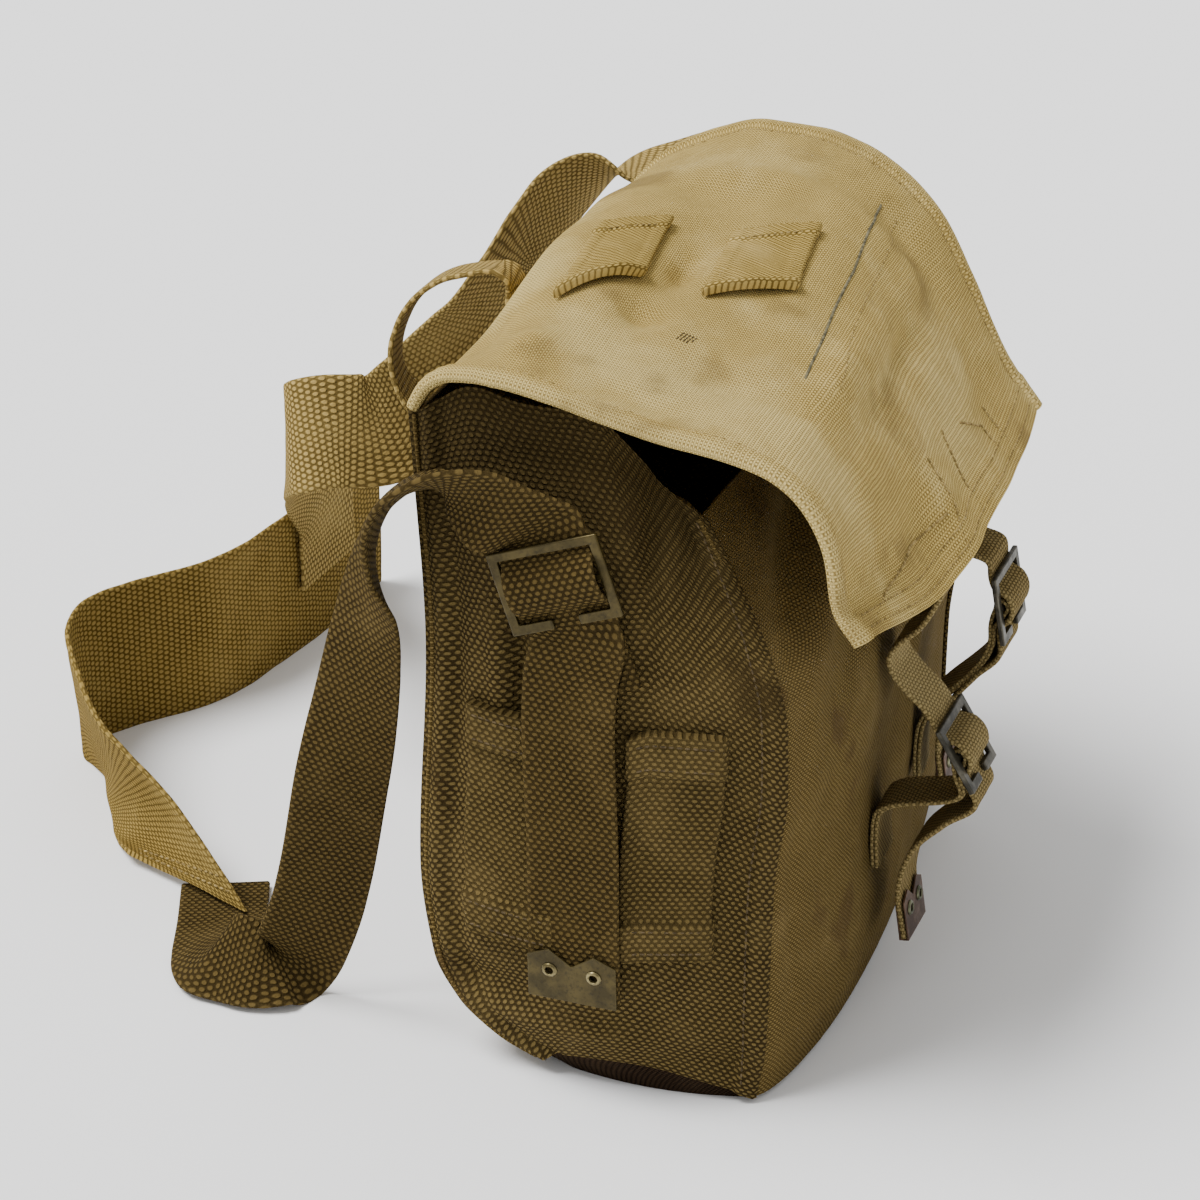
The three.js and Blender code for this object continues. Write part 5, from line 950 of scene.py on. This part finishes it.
def aged_metal(name, deep, worn, rough, metallic):
    """Dull metal: deep and worn tones in patches, dark specks, a fine pitted surface, and edges rubbed
    bright where the rounded normal leaves the true one."""
    material = bpy.data.materials.new(name)
    material.use_nodes = True
    tree = material.node_tree
    shader = tree.nodes["Principled BSDF"]
    solid = add_node(tree, "ShaderNodeTexCoord").outputs["Object"]
    patch = ramp(tree, noise(tree, solid, 90, 5, .65), .38, .68)
    speck = ramp(tree, noise(tree, solid, 520, 3, .6), .5, .75)
    colour = blend(tree, patch, deep, worn)
    colour = blend(tree, math_node(tree, "MULTIPLY", speck, .6), colour, tuple(c * .35 for c in deep))
    edges = add_node(tree, "ShaderNodeBevel", {"Radius": .0009}, samples=4)
    true = add_node(tree, "ShaderNodeNewGeometry")
    close = add_node(tree, "ShaderNodeVectorMath", {0: edges.outputs[0], 1: true.outputs["Normal"]},
                     operation="DOT_PRODUCT").outputs["Value"]
    rubbed = ramp(tree, math_node(tree, "SUBTRACT", 1.0, close), .01, .12)
    rubbed_tone = tuple(min(1, c * 1.4) for c in worn)
    colour = blend(tree, math_node(tree, "MULTIPLY", rubbed, .35), colour, rubbed_tone)
    tree.links.new(colour, shader.inputs["Base Color"])
    tree.links.new(math_node(tree, "MULTIPLY_ADD", patch, -.14, rough), shader.inputs["Roughness"])
    bump = add_node(tree, "ShaderNodeBump", {"Height": noise(tree, solid, 300, 4, .6),
                                             "Distance": .00018, "Strength": 1.0})
    tree.links.new(bump.outputs[0], shader.inputs["Normal"])
    shader.inputs["Metallic"].default_value = metallic
    return material


brass = aged_metal("aged brass", (.040, .029, .007), (.075, .055, .015), .48, .65)
iron = aged_metal("dark grey green metal", (.030, .028, .020), (.105, .095, .070), .5, .7)
brown = aged_metal("brown end plates", (.050, .026, .016), (.150, .088, .055), .55, .65)
green = aged_metal("greenish eyelets", (.050, .056, .030), (.19, .19, .11), .45, .85)
bright = aged_metal("bright brass eyelets", (.10, .078, .03), (.30, .25, .12), .42, .85)
# each fitting: the model's piece, its metal, its slot, the radius of its edges (mm)
FITTINGS = []
for word in ("near", "far"):
    FITTINGS += [("side_buckle_" + word, brass, "brass_fittings", .7),
                 ("side_chape_" + word, brass, "brass_fittings", .25),
                 ("closure_buckle_" + word, iron, "dark_buckles", .6),
                 ("closure_chape_" + word, brown, "brown_chapes", .25)]
    for letter in "ab":
        FITTINGS += [("side_chape_%s_eyelet_%s" % (word, letter), bright, "brass_fittings", .3),
                     ("closure_chape_%s_eyelet_%s" % (word, letter), green, "brown_chapes", .3)]
# points closer than this are one (m), corners sharper than these are drawn hard, or rounded (degrees)
ONE_POINT, METAL_CORNER, ROUNDED_CORNER = 2e-5, 40, 35
for node, material, slot, radius in FITTINGS:
    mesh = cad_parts[node].data.copy()
    mesh.name = node + "_metal"
    shape = bmesh.new()
    shape.from_mesh(mesh)
    bmesh.ops.remove_doubles(shape, verts=shape.verts, dist=ONE_POINT)
    shape.to_mesh(mesh)
    shape.free()
    mesh.polygons.foreach_set("use_smooth", np.ones(len(mesh.polygons), bool))
    mesh.set_sharp_from_angle(angle=math.radians(METAL_CORNER))
    mesh.materials.clear()
    mesh.materials.append(material)
    fitting = bpy.data.objects.new(node + "_metal", mesh)
    bpy.context.scene.collection.objects.link(fitting)
    rounding = fitting.modifiers.new("rounding", "BEVEL")
    rounding.width = radius / 1000
    rounding.segments = 3
    rounding.limit_method = "ANGLE"
    rounding.angle_limit = math.radians(ROUNDED_CORNER)
    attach(fitting, "root")
    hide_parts(node)

# ---------------------------------------------------------------- stitching
# Cotton thread: rows of short stitches along the hems, seams, loop ends and strap folds, and the
# marks that a removed strap left on the lid.


def thread(name, deep, top):
    """Matt cotton in two tones."""
    material = bpy.data.materials.new(name)
    material.use_nodes = True
    tree = material.node_tree
    shader = tree.nodes["Principled BSDF"]
    solid = add_node(tree, "ShaderNodeTexCoord").outputs["Object"]
    tone = ramp(tree, noise(tree, solid, 400, 3, .6), .35, .7)
    tree.links.new(blend(tree, tone, deep, top), shader.inputs["Base Color"])
    shader.inputs["Roughness"].default_value = .85
    shader.inputs["Specular IOR Level"].default_value = .15
    return material


pale_thread = thread("pale thread", (.16, .11, .035), (.42, .31, .12))
dark_thread = thread("dark thread", (.045, .032, .016), (.14, .10, .05))
ghost_thread = thread("grey green mark", (.07, .062, .035), (.20, .175, .10))


def follow(points, normals, pitch):
    """Places every pitch mm along a line, each with its direction and its normal."""
    points, normals = np.asarray(points, float), np.asarray(normals, float)
    reach = np.concatenate([[0], np.linalg.norm(np.diff(points, axis=0), axis=1).cumsum()])
    at = np.arange(pitch / 2, reach[-1], pitch)
    place = np.stack([np.interp(at, reach, points[:, k]) for k in range(3)], -1)
    ahead = np.stack([np.interp(at + .5, reach, points[:, k]) for k in range(3)], -1)
    behind = np.stack([np.interp(at - .5, reach, points[:, k]) for k in range(3)], -1)
    n = np.stack([np.interp(at, reach, normals[:, k]) for k in range(3)], -1)
    d = ahead - behind
    d /= np.linalg.norm(d, axis=1, keepdims=True)
    n -= d * (n * d).sum(1, keepdims=True)
    n /= np.linalg.norm(n, axis=1, keepdims=True)
    return place, d, n


# one stitch: shares of its length, its swell at each, and its sides
STITCH_SHARES = [-.5, -.44, -.2, .2, .44, .5]
STITCH_SWELL = [.35, .8, 1, 1, .8, .35]
STITCH_SIDES = 6


def stitches(name, lines, material, long, pitch, fat, seed):
    """Rows of stitches: each is a small closed bead, a circle swept along the line by shares of its
    length and swollen by its swell, half sunk into the cloth. Each lies a little askew, and a few in
    a hundred are missing."""
    rng = np.random.default_rng(seed)
    place, d, n = (np.concatenate(x) for x in zip(*[follow(p, m, pitch) for p, m in lines]))
    keep = rng.random(len(place)) > .03
    place, d, n = place[keep], d[keep], n[keep]
    side = np.cross(d, n)
    tilt = rng.normal(0, .06, len(place))[:, None]
    d, side = d * np.cos(tilt) + side * np.sin(tilt), side * np.cos(tilt) - d * np.sin(tilt)
    size = long * rng.uniform(.85, 1.1, len(place))[:, None]
    angles = np.arange(STITCH_SIDES) * 2 * np.pi / STITCH_SIDES
    verts = []
    for share, swell in zip(STITCH_SHARES, STITCH_SWELL):
        sink = -abs(share) ** 3 * 3.0 * fat
        for a in angles:
            verts.append(place + d * size * share + n * (sink + fat * .35)
                         + (side * math.cos(a) + n * math.sin(a) * .8) * fat * swell)
    verts = np.stack(verts, 1)
    rings, sides = len(STITCH_SHARES), STITCH_SIDES
    one = [[r * sides + k, r * sides + (k + 1) % sides, (r + 1) * sides + (k + 1) % sides,
            (r + 1) * sides + k] for r in range(rings - 1) for k in range(sides)]
    ends = [list(range(sides))[::-1], [(rings - 1) * sides + k for k in range(sides)]]
    count = rings * sides
    first = verts[0]
    a, b, e = (first[[q[m] for q in one]] for m in (0, 1, 3))
    outward = (np.cross(b - a, e - a) * (a - first.mean(0))).sum()
    if outward < 0:
        one = [q[::-1] for q in one]
        ends = [q[::-1] for q in ends]
    faces = [[v + i * count for v in q] for i in range(len(verts)) for q in one + ends]
    piece_from(name, verts.reshape(-1, 3), faces, None, material)


def lid_line(us, vs, above=0.0, count=60):
    """A line on the lid through the shares given, at a height above it, and its normals."""
    at = np.linspace(0, 1, len(us))
    fine = np.linspace(0, 1, count)
    return top_of_lid(np.interp(fine, at, us), np.interp(fine, at, vs), above)


def wall_line(end, us, vs, above, count=60):
    """A line on a gusset through the shares given, at a height above it, and its normals."""
    at = np.linspace(0, 1, len(us))
    fine = np.linspace(0, 1, count)
    u, v = np.interp(fine, at, us), np.interp(fine, at, vs)
    step = .004
    a = gusset_at(end, u + step, v) - gusset_at(end, u - step, v)
    b = gusset_at(end, u, v + step) - gusset_at(end, u, v - step)
    n = np.cross(a, b)
    n /= np.linalg.norm(n, axis=1, keepdims=True)
    n *= np.sign(n[:, :1] * end)
    return gusset_at(end, u, v) + n * above, n


hem_lines, hem_top = [], (LID_HEM - LID_THICK) / 2
for inset in (5.2, 9.4):
    for u in (inset / BAG_LENGTH, 1 - inset / BAG_LENGTH):
        above = hem_top * .75 if inset < HEM_WIDE else -.1
        hem_lines.append(lid_line([u, u], [.02, .995], above, 90))
front_lines = [lid_line([.04, .97], [v, v], .75, 90) for v in (.962, .985)]
stitches("hem_stitches", hem_lines, pale_thread, 2.1, 3.0, .42, seed=1)
stitches("front_hem_stitches", front_lines, pale_thread, 2.1, 3.0, .38, seed=2)
# the rows that hold the closure straps under the lid's front: shares along and down the lid
V_LINES = [([.58, .56, .55, .535], [.885, .935, .975, .998]), ([.46, .453, .42], [.88, .943, .996]),
           ([.43, .30, .163, .072], [.938, .925, .95, .978]), ([.19, .178], [.958, .996]),
           ([.66, .75, .76], [.90, .93, .995]), ([.80, .80], [.92, .995])]
stitches("closure_stitches", [lid_line(u, v, .1) for u, v in V_LINES], pale_thread,
         2.6, 3.1, .62, seed=3)
# where a strap was once sewn, and the row beside it
GHOST = ([.89, .768, .63, .505, .297], [.642, .652, .675, .682, .703])
GHOST_ROW = ([.897, .657, .448, .315], [.682, .71, .725, .745])
stitches("old_strap_mark", [lid_line(*GHOST, -.12, 120)], ghost_thread, 3.4, 2.3, .62, seed=4)
stitches("old_strap_row", [lid_line(*GHOST_ROW, 0., 90)], pale_thread, 2.0, 3.6, .34, seed=5)
stitches("darn", [lid_line([.255, .28], [.455 + .007 * k, .462 + .007 * k], 0., 12) for k in range(5)],
         dark_thread, 2.2, 2.4, .3, seed=6)
# the keepers' long sides and their folded ends
keeper_lines = []
for word in KEEPERS:
    for share in (.09, .91):
        u, v = blend_corners(KEEPERS[word], [share, share], [.07, .96])
        keeper_lines.append(lid_line(u, v, 2.7))
    u, v = blend_corners(KEEPERS[word], [.08, .92], [.86, .86])
    keeper_lines.append(lid_line(u, v, 3.4))
stitches("keeper_stitches", keeper_lines, pale_thread, 1.9, 3.0, .36, seed=7)
# the front seams of the gussets, and four rows on each of their loops
seam_lines = [wall_line(end, [.052, .052], [.02, .97], 1.35, 90) for end in (-1, 1)]
stitches("seam_stitches", seam_lines, dark_thread, 2.3, 3.4, .42, seed=8)
loop_lines = []
for end, corners in LOOPS.values():
    for share in (.04, .14, .86, .96):
        u, v = blend_corners(corners, [.06, .94], [share, share])
        loop_lines.append(wall_line(end, u, v, SEAT + LOOP_THICK + LOOP_RISE + .2, 16))
stitches("loop_stitches", loop_lines, dark_thread, 2.4, 3.3, .45, seed=9)
BAND_ROWS, BAND_ROW_LIFT, BAND_ROW_INSET = (9, 16), .15, 2.5


def band_line(from_start):
    """A row across the shoulder band at a distance from its start, on both of its faces."""
    p, face, uv = strap_grid(STRAPS["shoulder_band"], BAND_WIDE, 12, STRAP_STEP)
    i = int(np.argmin(np.abs(uv[:, 0, 1] - from_start)))
    across = (p[i, -1] - p[i, 0]) / np.linalg.norm(p[i, -1] - p[i, 0])
    a, b = p[i, 0] + across * BAND_ROW_INSET, p[i, -1] - across * BAND_ROW_INSET
    points = a + (b - a) * np.linspace(0, 1, 20)[:, None]
    return [(points + face[i] * side * (WEB / 2 + BAND_ROW_LIFT), np.tile(face[i] * side, (20, 1)))
            for side in (1, -1)]


band_rows = [row for from_start in BAND_ROWS for row in band_line(from_start)]
stitches("band_stitches", band_rows, pale_thread, 2.8, 4.0, .5, seed=10)

# ---------------------------------------------------------------- floor, light and camera
# A pale plain floor and white surroundings, one soft light from above and the left, and the
# camera where the photograph was taken.
FLOOR_HALF, FLOOR_DROP = 6, .0002
plane = bpy.data.meshes.new("floor")
corners = [(x * FLOOR_HALF, y * FLOOR_HALF, -FLOOR_DROP) for x, y in ((-1, -1), (1, -1), (1, 1), (-1, 1))]
plane.from_pydata(corners, [], [(0, 1, 2, 3)])
floor = bpy.data.objects.new("floor", plane)
bpy.context.scene.collection.objects.link(floor)
paper = bpy.data.materials.new("white paper")
paper.use_nodes = True
paper_tree = paper.node_tree
tone = noise(paper_tree, add_node(paper_tree, "ShaderNodeTexCoord").outputs["Object"], 2.0)
paper_tree.links.new(blend(paper_tree, tone, (.97, .97, .97), (.98, .98, .98)),
                     paper_tree.nodes["Principled BSDF"].inputs["Base Color"])
paper_tree.nodes["Principled BSDF"].inputs["Roughness"].default_value = 1
paper_tree.nodes["Principled BSDF"].inputs["Specular IOR Level"].default_value = 0
plane.materials.append(paper)
# how bright the surroundings are, and how wide (degrees), strong and in what direction the light is
AROUND, SUN_WIDE, SUN_STRENGTH, SUN_AIM = 0.74, 30, 4.3, (.19, -.42, -.85)
world = bpy.data.worlds.new("white surroundings")
world.use_nodes = True
world.node_tree.nodes["Background"].inputs[0].default_value = (1, 1, 1, 1)
world.node_tree.nodes["Background"].inputs[1].default_value = AROUND
bpy.context.scene.world = world
sun = bpy.data.lights.new("soft light above", "SUN")
sun.angle = math.radians(SUN_WIDE)
sun.energy = SUN_STRENGTH
sun_body = bpy.data.objects.new("soft light above", sun)
sun_body.rotation_euler = Vector(SUN_AIM).to_track_quat("-Z", "Y").to_euler()
bpy.context.scene.collection.objects.link(sun_body)
CAMERA_PLACE, CAMERA_AIM, CAMERA_LENS = (-1.637, -.545, 1.077), (.830, .302, -.469), 135
lens = bpy.data.cameras.new("camera")
lens.lens = CAMERA_LENS
lens.sensor_width = 36
camera = bpy.data.objects.new("camera", lens)
camera.location = CAMERA_PLACE
camera.rotation_euler = Vector(CAMERA_AIM).to_track_quat("-Z", "Y").to_euler()
bpy.context.scene.collection.objects.link(camera)
bpy.context.scene.camera = camera
